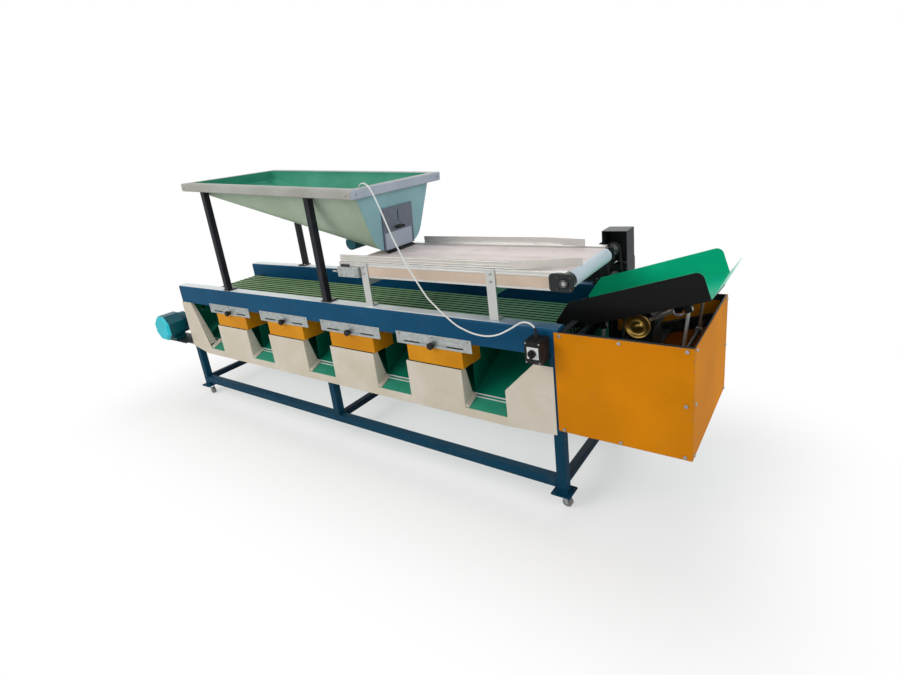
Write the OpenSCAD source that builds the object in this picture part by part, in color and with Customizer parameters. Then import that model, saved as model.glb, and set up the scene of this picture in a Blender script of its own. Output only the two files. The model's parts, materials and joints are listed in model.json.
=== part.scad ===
// Fruit grading machine on castors, an assembly of named pieces.
// Lengths are millimetres. X runs along the rails, Z is up, the outlets face -Y.

/* [Rails and legs] */
// length of the two side rails
rail_len = 3180; // [3100:10:3500]
// width of a rail, seen from above
rail_w = 80; // [70:1:90]
// height of a rail
rail_h = 135; // [120:1:150]
// height of the upper face of the rails above the floor
rail_top = 940; // [900:5:1000]
// distance over the outer faces of the rails
frame_w = 760; // [745:1:850]
// side of a leg and of a lower rail
leg_w = 50; // [40:1:60]
// height of the upper face of the lower rails
lower_rail_top = 158; // [140:1:240]
// side of a foot plate
foot_w = 100; // [70:1:130]
// thickness of a foot plate
foot_t = 10; // [6:1:14]

/* [Castors] */
// height of a castor
castor_h = 75; // [68:1:100]
// diameter of a castor wheel
wheel_d = 50; // [40:1:54]
// width of a castor wheel
wheel_w = 22; // [14:1:30]

/* [Grading bed] */
// distance from the rail tops down to the upper face of the belts
bed_drop = 90; // [80:1:95]
// diameter of the bed rollers
bed_roller_d = 80; // [60:1:84]
// number of grading belts
belt_count = 12; // [8:1:12]
// width of a grading belt
belt_w = 24; // [14:1:30]
// thickness of a grading belt
belt_t = 6; // [3:0.5:8]
// belt pitch at the feed end
pitch_feed = 35; // [32:0.5:38]
// belt pitch at the far end
pitch_far = 42; // [38:0.5:43]

/* [Outlets] */
// width of a closed block between two outlets
block_w = 365; // [320:1:380]
// length of the closed panel at the left end, along the outlet lip
left_panel_w = 253; // [230:1:290]
// length of the closed panel at the right end
right_panel_w = 262; // [230:1:280]
// distance from the underside of the rails down to the outlet lip
lip_drop = 365; // [335:5:385]
// distance from the underside of the rails down to the upper edge of the closed blocks
block_drop = 150; // [135:5:185]
// height of the band under the outlets
band_h = 50; // [30:1:70]
// thickness of the folded sheets
sheet_t = 3; // [2:0.5:4]

/* [Dividers] */
// width of a divider
divider_w = 360; // [300:5:400]
// length of a slotted plate
plate_len = 490; // [440:5:540]
// height of a slotted plate
plate_h = 70; // [60:1:76]
// distance a divider can be shifted to each side
divider_shift = 80; // [40:5:100]

/* [Hopper] */
// length of the hopper rim
rim_len = 1630; // [1520:10:1720]
// height of the hopper rim
rim_h = 52; // [40:1:60]
// height of the outlet end of the rim above the rail tops
rim_rise = 647; // [642:1:702]
// slope of the hopper rim in degrees
rim_tilt = 4.08; // [3:0.01:4.4]
// depth of the hopper at its outlet end, from the upper face of the rim
hopper_depth = 392; // [370:1:398]
// width of the hopper at its outlet end, across the rounded lower corners
hopper_end_w = 456; // [440:2:470]
// side of a hopper leg
hopper_leg_w = 40; // [30:1:42]
// distance the gate can be lifted
gate_lift = 90; // [50:5:100]

/* [Feed conveyor] */
// length of the conveyor between its roller axes
conv_len = 1320; // [1260:10:1380]
// width over the side profiles
conv_w = 520; // [500:2:530]
// height of a side profile
conv_h = 86; // [84:1:100]
// height of the upper edge of the profiles above the rail tops
conv_rise = 250; // [240:1:254]
// diameter of the conveyor rollers
conv_roller_d = 68; // [50:1:68]
// height of the side guides
guide_h = 38; // [25:1:44]

/* [Drive box] */
// length of the drive box
box_len = 575; // [560:5:620]
// height of the drive box
box_h = 492; // [460:4:540]

/* [Shaker trough] */
// length of the trough floor
trough_len = 678; // [650:2:690]
// width of the trough
trough_w = 415; // [400:1:430]
// height of the trough walls
trough_h = 124; // [100:2:140]
// slope of the trough in degrees
trough_tilt = 17.3; // [16:0.1:18.4]
// length of the end flap
flap_len = 82; // [50:2:110]
// throw of the eccentric
throw = 6; // [3:0.5:7]

/* [Main drive] */
// diameter of the gearmotor
motor_d = 200; // [180:2:216]
// distance of the gearmotor axis from the end of the rails
motor_x = 230; // [200:5:260]
// distance from the underside of the rails down to the gearmotor axis
motor_drop = 215; // [185:5:235]
// distance by which the gearmotor stands in front of the rails
motor_proud = 120; // [100:5:150]

/* [Switch and cable] */
// width of the switch box
switch_w = 80; // [64:2:84]
// height of the switch box
switch_h = 105; // [90:1:125]
// depth of the switch box
switch_d = 90; // [70:2:110]
// diameter of the mains cable
cable_d = 8; // [6:0.5:8.5]

/* [Hidden] */
$fn = 48;
// facets of the spheres and discs that shape the hopper
hull_fn = 32;
// overrun of a cut
over = 2;
// gap between pieces that move against each other, or stand close
gap = 0.4;
// radial clearance of a shaft in its bore
run = 0.05;

// rails, legs and feet
rail_wall = 4;
rail_round = 18;
leg_wall = 3;
cross_w = 40;
high_cross_drop = 45;
foot_hole_r = 5;
foot_hole_in = 12;
rail_bot = rail_top - rail_h;
lip_z = rail_bot - lip_drop;
block_z = rail_bot - block_drop;
half_w = frame_w / 2;
rail_in = half_w - rail_w;
leg_in = half_w - leg_w;
leg_z = castor_h + foot_t;

// castors
trail = 17;
cap_r = 22;
cap_h = 8;
king_r = 6;
king_head_r = 10;
king_head_h = 6;
axle_r = 5;
cheek_t = 3;
cheek_half = 14;
tread_share = 0.72;
groove_share = 0.12;

// grading bed
belt_joint = 0.4;
bed_gap = 0.6;
bed_end = 100;
bed_shaft_r = 12.5;
bearing_w = 80;
bearing_flange_t = 12;
bearing_t = 25;
bearing_boss_r = 28;
sprocket_gap = 9;
sprocket_t = 8;
sprocket_r = 30;
sprocket_bite = 0.5;
teeth = 14;
tooth_h = 5;
tooth_share = 0.45;
chain_gap = 0.6;
chain_t = 9;
bed_z = rail_top - bed_drop;
bed_r = bed_roller_d / 2;
bed_axis_z = bed_z - belt_t - bed_gap - bed_r;
bed_x1 = rail_len - bed_end;
bed_roller_half = rail_in - 2 * bearing_t;
sprocket_y = -(rail_in - bearing_t - sprocket_gap);
chain_r = sprocket_r + tooth_h + chain_gap;

// chute board and outlet floor
chute_end = 56;
board_front_in = 90;
board_low = 42;
board_high = 60;
floor_depth = 96;
floor_rise = 38;
board_z0 = lip_z + board_low;
board_z1 = rail_bot - board_high;
board_y0 = -(half_w - board_front_in);
board_slope = (board_z1 - board_z0) / (rail_in - board_y0);
floor_slope = floor_rise / floor_depth;

// front panel
panel_over = 12;
panel_right_in = 30;
panel_lap = 2;
left_low = 43;
left_cut_share = 0.71;
left_slant_share = 0.545;
left_outlet_share = 0.7;
right_low = 15;
right_step = 148;
right_slope = 165;
right_drop = 50;
cheek_depth = 84;
cheek_top_depth = 36;
block_count = 4;
panel_right = rail_len - panel_right_in;
right_x = panel_right - right_panel_w;
outlet_w = (right_x - left_panel_w - block_count * block_w) / (block_count + left_outlet_share);
pitch = block_w + outlet_w;
blocks = [for (i = [1:block_count]) right_x - outlet_w - block_w / 2 - (block_count - i) * pitch];
band_z = lip_z - band_h;
left_cut_x = left_panel_w * left_cut_share;
left_slant = left_panel_w * left_slant_share;

// dividers, slotted plates and knobs
divider_off = 18;
divider_top_gap = 10;
divider_low_gap = 5;
divider_back = 60;
divider_roof_gap = 53;
divider_front_in = 0.4;
board_clear = 12;
plate_lap = 20;
slot_up = 17;
slot_clear = 0.5;
slot_spare = 110;
stud_r = 4;
knob_r = 19;
knob_t = 18;
knob_neck_r = 11;
knob_neck_t = 10;
screw_r = 6;
screw_t = 4;
screw_edge = 25;
screw_drop = 10;
plate_z0 = rail_bot + plate_lap - plate_h;
slot_z = plate_z0 + slot_up;
divider_top = rail_bot - divider_top_gap;
divider_low = block_z + divider_low_gap;
divider_roof = rail_bot - divider_roof_gap;
divider_y0 = -(half_w - divider_front_in);
places = [for (b = blocks) b + divider_off];

// hopper
rim_over = 20;
rim_t = 45;
rim_side_t = 66;
rim_gap = 0.3;
hopper_end = 1096;
shell_t = 4;
corner_r = 20;
end_r = 128;
end_disc_t = 2;
start_r = 20;
start_drop = 10;
start_in_share = 0.1;
leg_back = 394;
leg_apart = 1035;
hopper_leg_in = 22;
hopper_foot_l = 80;
hopper_foot_w = 70;
hopper_foot_t = 8;
mouth_w = 220;
mouth_h = 85;
gate_t = 4;
gate_half = 124;
gate_h = 150;
gate_low = 3;
guide_t = 3;
guide_rail = 12;
guide_low = 100;
guide_high = 290;
gate_stud_up = 122;
gate_slot_end = 8;
wing_len = 58;
wing_w = 16;
wing_t = 12;
wing_neck = 8;
flap_half = 125;
flap_t = 2.5;
flap_tab = 30;
flap_out = 24;
flap_drop = 9;
vib_back = 330;
vib_r = 42;
vib_half = 75;
vib_block = 50;
vib_stand = 20;
rim_bolt_r = 7;
rim_bolt_t = 4;
rim_bolt_in = 40;
rim_w = frame_w + 2 * rim_over;
rim_x = rail_len - hopper_end - rim_len / 2;
rim_z = rail_top + rim_rise + rim_len / 2 * sin(rim_tilt);
in_len = rim_len - 2 * rim_t;
in_w = rim_w - 2 * rim_side_t;
end_x = in_len / 2;
end_c = [end_x, hopper_end_w / 2 - end_r, end_r - hopper_depth];
start_c = [start_r - end_x, in_w / 2 * (1 - start_in_share) - start_r, -(rim_h + start_drop)];
floor_run = [end_x - end_disc_t - start_c.x, start_c.z + hopper_depth];
floor_tilt = atan2(floor_run.y, floor_run.x) - asin(start_r / norm(floor_run));
gate_z0 = gate_low - hopper_depth;
gate_x = end_x + gap;
guide_x = gate_x + gate_t + gap;
gate_stud_z = gate_z0 + gate_stud_up;

// feed conveyor
conv_in = 30;
prof_w = 40;
prof_lip = 10;
conv_belt_t = 3;
conv_belt_drop = 8;
conv_out = 35;
prof_tail = 45;
prof_nose = 5;
belt_side = 5;
conv_shaft_r = 10;
conv_hole_r = 14;
conv_bearing_w = 64;
conv_bearing_t = 20;
slider_t = 4;
slider_end = 50;
guide_sheet = 4;
near_bend = 220;
near_end = 70;
near_in = 100;
far_start = 1100;
far_bend = 275;
far_end = 60;
far_in = 35;
tail_plate_h = 62;
tail_plate_t = 5;
post_w = 50;
post_t = 8;
post_back_0 = 1140;
post_back_1 = 330;
bar_w = 40;
back_post_in = 60;
conv_sprocket_r = 24;
conv_chain_out = 85;
conv_motor_d = 108;
conv_motor_off = 10;
conv_plate_t = 8;
conv_motor_lift = 1;
conv_case_gap = 20;
conv_motor_proud = 12;
conv_plate_back = 100;
conv_plate_front = 110;
conv_foot_half = 35;
conv_stub = 30;
guard_left = 48;
guard_len = 126;
guard_front = 58;
guard_back = 35;
guard_up = 55;
guard_gap = 5;
guard_t = 3;
conv_y0 = -(half_w - conv_in);
conv_y1 = conv_y0 + conv_w;
conv_z1 = rail_top + conv_rise;
conv_z0 = conv_z1 - conv_h;
conv_r = conv_roller_d / 2;
conv_axis_z = conv_z1 - conv_belt_drop - conv_belt_t - gap - conv_r;
conv_x1 = rail_len + conv_out;
conv_x0 = conv_x1 - conv_len;
prof_x0 = conv_x0 - prof_tail;
prof_x1 = conv_x1 + prof_nose;
belt_y0 = conv_y0 + prof_w + belt_side;
belt_y1 = conv_y1 - prof_w - belt_side;
conv_chain_y = conv_y1 + conv_chain_out;
conv_chain_r = conv_sprocket_r + tooth_h + chain_gap;
conv_motor_r = conv_motor_d / 2;
conv_motor_x = conv_x1 + conv_motor_off;
conv_motor_z = rail_top + conv_plate_t + conv_motor_lift + conv_motor_r;
conv_motor_y0 = conv_chain_y + sprocket_t + conv_case_gap;
conv_motor_y1 = half_w + conv_motor_proud;
guard_x0 = conv_x1 - guard_left;
guard_y0 = conv_y1 + guard_front;
guard_y1 = half_w - guard_back;
guard_z0 = conv_motor_z + conv_motor_r + guard_gap;
guard_z1 = conv_z1 + guard_up;

// drive box
box_over = 19;
box_lap = 17;
box_drop = 15;
angle_w = 30;
angle_t = 3;
panel_gap = 0.3;
bolt_r = 8;
bolt_t = 5;
bolt_in = 14;
box_x0 = rail_len - box_over;
box_x1 = box_x0 + box_len;
box_y1 = rail_in + box_lap;
box_z1 = rail_top - box_drop;
box_z0 = box_z1 - box_h;
frame_x1 = box_x1 - sheet_t;
frame_y1 = box_y1 - sheet_t;

// trough and rockers
lip_back = 71;
lip_over = 10;
bend = 40;
wall_cut_x = 95;
wall_cut_z = 48;
wall_round = 30;
lug_t = 4;
lug_half = 15;
pin_drop = 28;
pin_r = 8;
pin_end = 12;
eye_gap = 0.4;
eye_w = 16;
eye_r = 16;
foot_eye_r = 18;
lug_gap = 1;
rocker_y = 160;
rocker_dx = 22;
rocker_dz = 215;
rocker_r = 7;
rocker_shares = [0.295, 0.845];
rocker_in = 85;
shaft_r = 9;
shaft_bar_w = 25;
shaft_bar_h = 60;
trough_clear = 8;
lip_x = rail_len - lip_back;
lip_up = bed_z + lip_over;
tip_x = lip_x + trough_len * cos(trough_tilt) + flap_len * cos(trough_tilt + bend);
rocker_len = norm([rocker_dx, rocker_dz]);
rocker_far = (frame_x1 - rocker_in + rocker_dx - lip_x - pin_drop * sin(trough_tilt)) / cos(trough_tilt);
rockers = [for (s = rocker_shares) min(s * trough_len, rocker_far)];
tops = [for (r = rockers) trough_pt(r, -pin_drop)];
feet = [for (t = tops) t - [rocker_dx, rocker_dz]];
bar_slope = (feet[1].y - feet[0].y) / (feet[1].x - feet[0].x);

// shaker drive
ecc_out = 250;
ecc_up = 20;
ecc_y = -50;
ecc_r = 58;
ecc_wheel_t = 14;
ecc_wheel_gap = 4;
ecc_shaft_r = 14;
ecc_shaft_in = 40;
sheave_r = 30;
strap_t = 12;
rod_w = 20;
rod_h = 16;
rod_bite = 3;
rod_share = 0.737;
rod_pin_drop = 50;
rod_pin_r = 9;
rod_eye_t = 7;
rod_spare = 4;
rod_lug_gap = 2;
shaker_d = 130;
shaker_gap = 18;
shaker_len = 200;
shelf_t = 8;
shelf_half = 62;
shelf_drop = 150;
stand_half = 50;
stand_in = 22;
stand_len = 150;
stand_bite = 5;
ecc_x = rail_len + ecc_out;
ecc_z = bed_z + ecc_up;
sheave = [ecc_x, ecc_z + throw];
rod_pin = trough_pt(rod_share * trough_len, -rod_pin_drop);
rod_run = rod_pin - sheave;
rod_eye_in = rod_pin_r + 2 * throw + rod_spare;
shelf_z = ecc_z - shelf_drop;
shaker_y0 = ecc_y + rod_w / 2 + shaker_gap;

// main drive
cowl_len = 60;
cowl_sides = 8;
cowl_turn = 22.5;
cowl_taper = 18;
cowl_end_share = 0.86;
stator_len = 90;
case_len = 60;
stator_share = 0.92;
case_share = 0.85;
motor_shaft_r = 12;
motor_bore = 40;
motor_stub = 8;
bracket_t = 10;
bracket_gap = 12;
motor_foot_share = 0.35;
motor_foot_bite = 14;
arm_w = 30;
arm_h = 28;
arm_apart = 60;
bracket_left = 80;
bracket_right = 20;
bracket_front = 60;
bracket_back = 90;
bracket_bar_in = 5;
motor_r = motor_d / 2;
motor_z = rail_bot - motor_drop;
cowl_r = motor_r / cos(180 / cowl_sides);
motor_y0 = -(half_w + motor_proud);
stator_y = motor_y0 + cowl_len;
case_y = stator_y + stator_len;
case_y1 = case_y + case_len;
bracket_z = motor_z - motor_r - bracket_gap;

// switch box
switch_back = 120;
switch_low = 5;
switch_knob_r = 18;
switch_knob_t = 14;
switch_shaft_r = 4;
switch_shaft_l = 15;
switch_plate_share = 0.68;
switch_plate_t = 2;
switch_up_share = 0.49;
lever_w = 9;
lever_t = 9;
gland_r = 9;
gland_h = 18;
switch_x0 = rail_len - switch_back;
switch_z0 = rail_bot - switch_low;
switch_knob_x = switch_x0 + switch_w / 2;
switch_knob_z = switch_z0 + switch_h * switch_up_share;
gland = [switch_x0 + switch_w / 2, -(half_w + switch_d / 2), switch_z0 + switch_h + gland_h];

// mains cable: its route from the gland to the coil, from the upper right corner of the front rail
cable_sides = 10;
cable_steps = 3;
route_places = [
    [-83, -45, 9],
    [-94, -46, 25],
    [-112, -47, 35],
    [-134, -47, 36],
    [-154, -47, 30],
    [-172, -47, 19],
    [-210, -46, -6],
    [-272, -44, -40],
    [-335, -42, -57],
    [-405, -40, -56],
    [-470, -38, -40],
    [-535, -36, -10],
    [-645, -32, 76],
    [-695, -30, 130],
    [-784, -24, 262],
    [-824, -20, 336],
    [-870, -8, 410],
    [-930, 20, 496],
    [-994, 52, 580],
    [-1046, 76, 636],
    [-1086, 90, 663],
    [-1122, 101, 668],
    [-1152, 110, 659],
    [-1173, 119, 633],
    [-1181, 132, 590],
    [-1192, 190, 450],
    [-1216, 236, 386],
    [-1258, 280, 336],
    [-1304, 314, 313],
];
route = [for (p = route_places) [rail_len, -half_w, rail_top] + p];
coil_back = 250;
coil_turns = 4.5;
coil_steps = 24;
coil_sides = 6;
coil_pitch_share = 1.08;
coil_r_share = 6.6;
coil_gap = 0.4;
plug_shares = [1.5, 5, 4, 0.3, 2.4, 0.12];
cable_r = cable_d / 2;
coil_pitch = cable_d * coil_pitch_share;
coil_r = cable_d * coil_r_share;
plug_r = cable_d * plug_shares[0];
plug_len = cable_d * plug_shares[1];
boot_len = cable_d * plug_shares[2];
plug_pin_r = cable_d * plug_shares[3];
plug_pin_len = cable_d * plug_shares[4];
plug_pin_off = plug_r - plug_pin_r - cable_d * plug_shares[5];

// the part's own frame: under the middle of its bounding box, on the floor
x_left = (motor_x + motor_r - tip_x) / 2;
y_mid = (half_w + motor_proud - max(rim_w / 2, half_w + (foot_w - leg_w) / 2)) / 2;

// shared shapes and frames

// from machine coordinates, X from the left rail end and Y from the middle, to the part's frame
module seat() translate([x_left, y_mid, 0]) children();

// block between two opposite corners
module block(lo, hi) translate(lo) cube(hi - lo);

// round bar along Y
module bar_y(r, y0, y1) translate([0, y0, 0]) rotate([-90, 0, 0]) cylinder(r = r, h = y1 - y0);

// round bar along X
module bar_x(r, x0, x1) translate([x0, 0, 0]) rotate([0, 90, 0]) cylinder(r = r, h = x1 - x0);

// sheet with an outline in X and Z, y0 to y1
module sheet_xz(points, y0, y1) {
    translate([0, y1, 0]) rotate([90, 0, 0]) linear_extrude(y1 - y0) polygon(points);
}

// sheet with an outline in Y and Z, x0 to x1
module sheet_yz(points, x0, x1) {
    translate([x0, 0, 0]) rotate([90, 0, 90]) linear_extrude(x1 - x0) polygon(points);
}

// square tube along Z
module tube_z(w, h, wall) {
    difference() {
        cube([w, w, h]);
        translate([wall, wall, -over]) cube([w - 2 * wall, w - 2 * wall, h + 2 * over]);
    }
}

// square tube along X
module tube_x(w, len, wall) translate([0, 0, w]) rotate([0, 90, 0]) tube_z(w, len, wall);

// closed loop round two axes, outline in X and Z, along X from the first axis
module loop(len, r, t, y0, y1) {
    translate([0, y1, 0]) rotate([90, 0, 0]) linear_extrude(y1 - y0) difference() {
        stadium(len, r + t);
        stadium(len, r);
    }
}

module stadium(len, r) {
    circle(r);
    translate([len, 0]) circle(r);
    translate([0, -r]) square([len, 2 * r]);
}

// toothed wheel on the Y axis
module sprocket(r, y0) {
    tooth_w = 2 * PI * r / teeth * tooth_share;
    bar_y(r, y0, y0 + sprocket_t);
    for (i = [0:teeth - 1]) rotate([0, i * 360 / teeth, 0]) {
        translate([-tooth_w / 2, y0, r - sprocket_bite])
            cube([tooth_w, sprocket_t, tooth_h + sprocket_bite]);
    }
}

// the hopper's own frame: middle of the rim's upper face, with the slope of the rim
module in_hopper() translate([rim_x, 0, rim_z]) rotate([0, rim_tilt, 0]) children();

// a place under the hopper floor, up the slope from its lower end
module on_floor(back) {
    in_hopper() translate([end_x - end_disc_t, 0, -hopper_depth]) rotate([0, floor_tilt, 0])
        translate([-back, 0, 0]) children();
}

function tilt_pt(p) = [
    rim_x + p.x * cos(rim_tilt) + p.z * sin(rim_tilt),
    p.y,
    rim_z - p.x * sin(rim_tilt) + p.z * cos(rim_tilt)
];

// a place on the upper face of that floor, as a point of the machine frame
function floor_pt(back, y, up) = tilt_pt([
    end_x - end_disc_t - shell_t - back * cos(floor_tilt) + up * sin(floor_tilt),
    y,
    shell_t - hopper_depth + back * sin(floor_tilt) + up * cos(floor_tilt)
]);

// the trough's own frame: its lower floor edge, with the slope of the floor
module in_trough() translate([lip_x, 0, lip_up]) rotate([0, -trough_tilt, 0]) children();

// a point of the trough as X and Z of the machine frame
function trough_pt(x, z) = [
    lip_x + x * cos(trough_tilt) - z * sin(trough_tilt),
    lip_up + x * sin(trough_tilt) + z * cos(trough_tilt)
];

// tube swept along points; the side vector keeps the rings from turning
function unit(v) = v / norm(v);
function along(p, i) = unit(p[min(i + 1, len(p) - 1)] - p[max(i - 1, 0)]);
function ring(c, t, side, r, n) = let (a = unit(cross(t, side)), b = cross(t, a))
    [for (k = [0:n - 1]) c + r * (cos(k * 360 / n) * a + sin(k * 360 / n) * b)];

module tube(p, r, n, side) {
    last = len(p) - 1;
    points = [for (i = [0:last]) each ring(p[i], along(p, i), side, r, n)];
    skin = [for (i = [0:last - 1]) for (k = [0:n - 1]) let (a = i * n + k, b = i * n + (k + 1) % n)
        each [[a, b, b + n], [a, b + n, a + n]]];
    caps = [for (k = [1:n - 2]) each [[0, k + 1, k], [last * n, last * n + k, last * n + k + 1]]];
    polyhedron(points, concat(skin, caps));
}

// smooth curve through points
function blend(a, b, c, d, t) = (2 * b + (c - a) * t + (2 * a - 5 * b + 4 * c - d) * t * t
    + (3 * b - a - 3 * c + d) * t * t * t) / 2;
function smooth(p, k) = [
    for (i = [0:len(p) - 2]) for (j = [0:k - 1])
        blend(p[max(i - 1, 0)], p[i], p[i + 1], p[min(i + 2, len(p) - 1)], j / k),
    p[len(p) - 1]
];

// frame

module rail() {
    rotate([90, 0, 90]) linear_extrude(rail_len) difference() {
        union() {
            square([rail_w, rail_h - rail_round]);
            translate([rail_round, 0]) square([rail_w - 2 * rail_round, rail_h]);
            for (y = [rail_round, rail_w - rail_round])
                translate([y, rail_h - rail_round]) circle(rail_round);
        }
        translate([rail_wall, rail_wall]) square([rail_w - 2 * rail_wall, rail_h - rail_round - rail_wall]);
    }
}

module rails() color("steelblue") seat() {
    for (y = [-half_w, rail_in]) translate([0, y, rail_bot]) rail();
}

module foot_plate() {
    difference() {
        translate([-foot_w / 2, -foot_w / 2, castor_h]) cube([foot_w, foot_w, foot_t]);
        translate([0, 0, castor_h - over]) cylinder(r = king_r + run, h = foot_t + 2 * over);
        for (x = [-1, 1]) for (y = [-1, 1])
            translate([x * (foot_w / 2 - foot_hole_in), y * (foot_w / 2 - foot_hole_in), castor_h - over])
                cylinder(r = foot_hole_r, h = foot_t + 2 * over);
    }
}

module legs() color("steelblue") seat() {
    for (x = [0, rail_len - leg_w]) for (y = [-half_w, leg_in]) {
        translate([x, y, leg_z]) tube_z(leg_w, rail_bot - leg_z, leg_wall);
        translate([x + leg_w / 2, y + leg_w / 2, 0]) foot_plate();
    }
    translate([(rail_len - leg_w) / 2, -half_w, lower_rail_top])
        tube_z(leg_w, lip_z - sheet_t - gap - lower_rail_top, leg_wall);
    translate([(rail_len - leg_w) / 2, leg_in, lower_rail_top])
        tube_z(leg_w, rail_bot - lower_rail_top, leg_wall);
}

module lower_rails() color("steelblue") seat() {
    for (y = [-half_w, leg_in]) translate([leg_w, y, lower_rail_top - leg_w])
        tube_x(leg_w, rail_len - 2 * leg_w, leg_wall);
}

module cross_bar(x, top) {
    translate([x - cross_w / 2, -leg_in, top - cross_w]) cube([cross_w, 2 * leg_in, cross_w]);
}

module cross_bars() color("steelblue") seat() {
    for (x = [leg_w / 2, rail_len / 2, rail_len - leg_w / 2]) cross_bar(x, lower_rail_top);
    cross_bar(rail_len - leg_w / 2, rail_bot - high_cross_drop + cross_w);
}

// castors: fork with its king pin and axle, and the wheel

function castor_place(i) = [
    i % 2 == 0 ? leg_w / 2 : rail_len - leg_w / 2,
    i < 2 ? -half_w + leg_w / 2 : half_w - leg_w / 2,
    0
];

module castor_fork(i) color("silver") seat() translate(castor_place(i)) {
    cheek_y = wheel_w / 2 + 2 * gap;
    plate_z = castor_h - gap - cap_h;
    translate([0, 0, plate_z]) cylinder(r = cap_r, h = cap_h);
    translate([0, 0, plate_z]) cylinder(r = king_r, h = leg_z + king_head_h - plate_z);
    translate([0, 0, leg_z + gap]) cylinder(r = king_head_r, h = king_head_h);
    for (s = [-1, 1]) {
        y0 = s > 0 ? cheek_y : -cheek_y - cheek_t;
        sheet_xz([
            [trail - cheek_half / 2, wheel_d / 2 - cheek_half / 2],
            [trail + cheek_half / 2, wheel_d / 2 - cheek_half / 2],
            [cap_r - cheek_t, plate_z + cap_h / 2],
            [-cheek_half, plate_z + cap_h / 2]
        ], y0, y0 + cheek_t);
    }
    translate([trail, 0, wheel_d / 2]) bar_y(axle_r, -cheek_y - cheek_t, cheek_y + cheek_t);
}

module castor_wheel(i) color("gray") seat() translate(castor_place(i) + [trail, 0, wheel_d / 2]) {
    difference() {
        bar_y(wheel_d / 2, -wheel_w / 2, wheel_w / 2);
        for (y = [-wheel_w / 2 - over, wheel_w / 2 - wheel_w * groove_share])
            difference() {
                bar_y(wheel_d / 2 * tread_share, y, y + wheel_w * groove_share + over);
                bar_y(2 * axle_r, y, y + wheel_w * groove_share + over);
            }
        bar_y(axle_r + run, -wheel_w, wheel_w);
    }
}

// grading bed

module flange_bearing(w, t, flange, boss, bore) {
    difference() {
        union() {
            translate([-w / 2, 0, -w / 2]) cube([w, flange, w]);
            bar_y(boss, 0, t);
        }
        bar_y(bore, -over, t + over);
    }
}

module roller_bearings() color("dimgray") seat() {
    for (x = [bed_end, bed_x1]) {
        translate([x, -rail_in, bed_axis_z])
            flange_bearing(bearing_w, bearing_t, bearing_flange_t, bearing_boss_r, bed_shaft_r + run);
        translate([x, rail_in, bed_axis_z]) mirror([0, 1, 0])
            flange_bearing(bearing_w, bearing_t, bearing_flange_t, bearing_boss_r, bed_shaft_r + run);
    }
    for (x = [conv_x0, conv_x1]) {
        translate([x, conv_y1, conv_axis_z]) flange_bearing(conv_bearing_w, conv_bearing_t,
            conv_bearing_t / 2, 2 * conv_shaft_r, conv_shaft_r + run);
        translate([x, conv_y0, conv_axis_z]) mirror([0, 1, 0]) flange_bearing(conv_bearing_w,
            conv_bearing_t, conv_bearing_t / 2, 2 * conv_shaft_r, conv_shaft_r + run);
    }
}

// belt in four lengths: an upper and a lower run, and an end round each roller
module grading_belt(len) {
    r = bed_r + bed_gap;
    for (z = [-r - belt_t, r]) block([belt_joint, -belt_w / 2, z], [len - belt_joint, belt_w / 2, z + belt_t]);
    difference() {
        loop(len, r, belt_t, -belt_w / 2, belt_w / 2);
        block([0, -belt_w, -2 * r], [len, belt_w, 2 * r]);
    }
}

module grading_belts() color("darkseagreen") seat() {
    for (i = [0:belt_count - 1]) {
        place = i - (belt_count - 1) / 2;
        turn = atan2(place * (pitch_feed - pitch_far), bed_x1 - bed_end);
        translate([bed_end, place * pitch_far, bed_axis_z]) rotate([0, 0, turn])
            grading_belt((bed_x1 - bed_end) / cos(turn));
    }
}

module bed_roller() {
    bar_y(bed_r, -bed_roller_half, bed_roller_half);
    bar_y(bed_shaft_r, -rail_in, rail_in);
}

module bed_drive_roller() color("silver") seat() translate([bed_end, 0, bed_axis_z]) {
    bed_roller();
    sprocket(sprocket_r, sprocket_y);
}

module bed_idler_roller() color("silver") seat() translate([bed_x1, 0, bed_axis_z]) bed_roller();

// main drive

module bed_gearmotor() color("teal") seat() translate([-motor_x, 0, motor_z]) {
    foot_half = motor_d * motor_foot_share;
    difference() {
        union() {
            translate([0, stator_y, 0]) rotate([90, 0, 0]) rotate([0, 0, cowl_turn]) {
                cylinder(r = cowl_r, h = cowl_len - cowl_taper, $fn = cowl_sides);
                translate([0, 0, cowl_len - cowl_taper])
                    cylinder(r1 = cowl_r, r2 = cowl_r * cowl_end_share, h = cowl_taper, $fn = cowl_sides);
            }
            bar_y(motor_r * stator_share, stator_y, case_y);
            bar_y(motor_r * case_share, case_y, case_y1);
            block([-foot_half, stator_y, bracket_z - motor_z],
                [foot_half, case_y, motor_foot_bite - motor_r]);
        }
        bar_y(motor_shaft_r + run, case_y1 - motor_bore, case_y1 + over);
    }
}

module bed_motor_sprocket() color("silver") seat() translate([-motor_x, 0, motor_z]) {
    bar_y(motor_shaft_r, case_y1 - motor_bore + gap, sprocket_y + sprocket_t + motor_stub);
    sprocket(sprocket_r, sprocket_y);
}

module motor_bracket() color("darkslategray") seat() {
    block([-motor_x - bracket_left, -half_w - bracket_front, bracket_z - bracket_t],
        [-bracket_right, -half_w + bracket_back, bracket_z]);
    arm_z = bracket_z - bracket_t - arm_h;
    block([-motor_x - bracket_left, -half_w, arm_z], [0, -half_w + arm_w, bracket_z - bracket_t]);
    block([-motor_x - bracket_left, -half_w + arm_apart, arm_z],
        [bracket_bar_in, -half_w + arm_apart + arm_w, bracket_z - bracket_t]);
    block([bracket_bar_in, -leg_in, arm_z], [bracket_bar_in + cross_w, leg_in, arm_z + cross_w]);
}

// chain round two axes given as X and Z
module chain(a, b, r, y) {
    run_ab = b - a;
    translate([a.x, 0, a.y]) rotate([0, -atan2(run_ab.y, run_ab.x), 0])
        loop(norm(run_ab), r, chain_t, y, y + sprocket_t);
}

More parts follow.
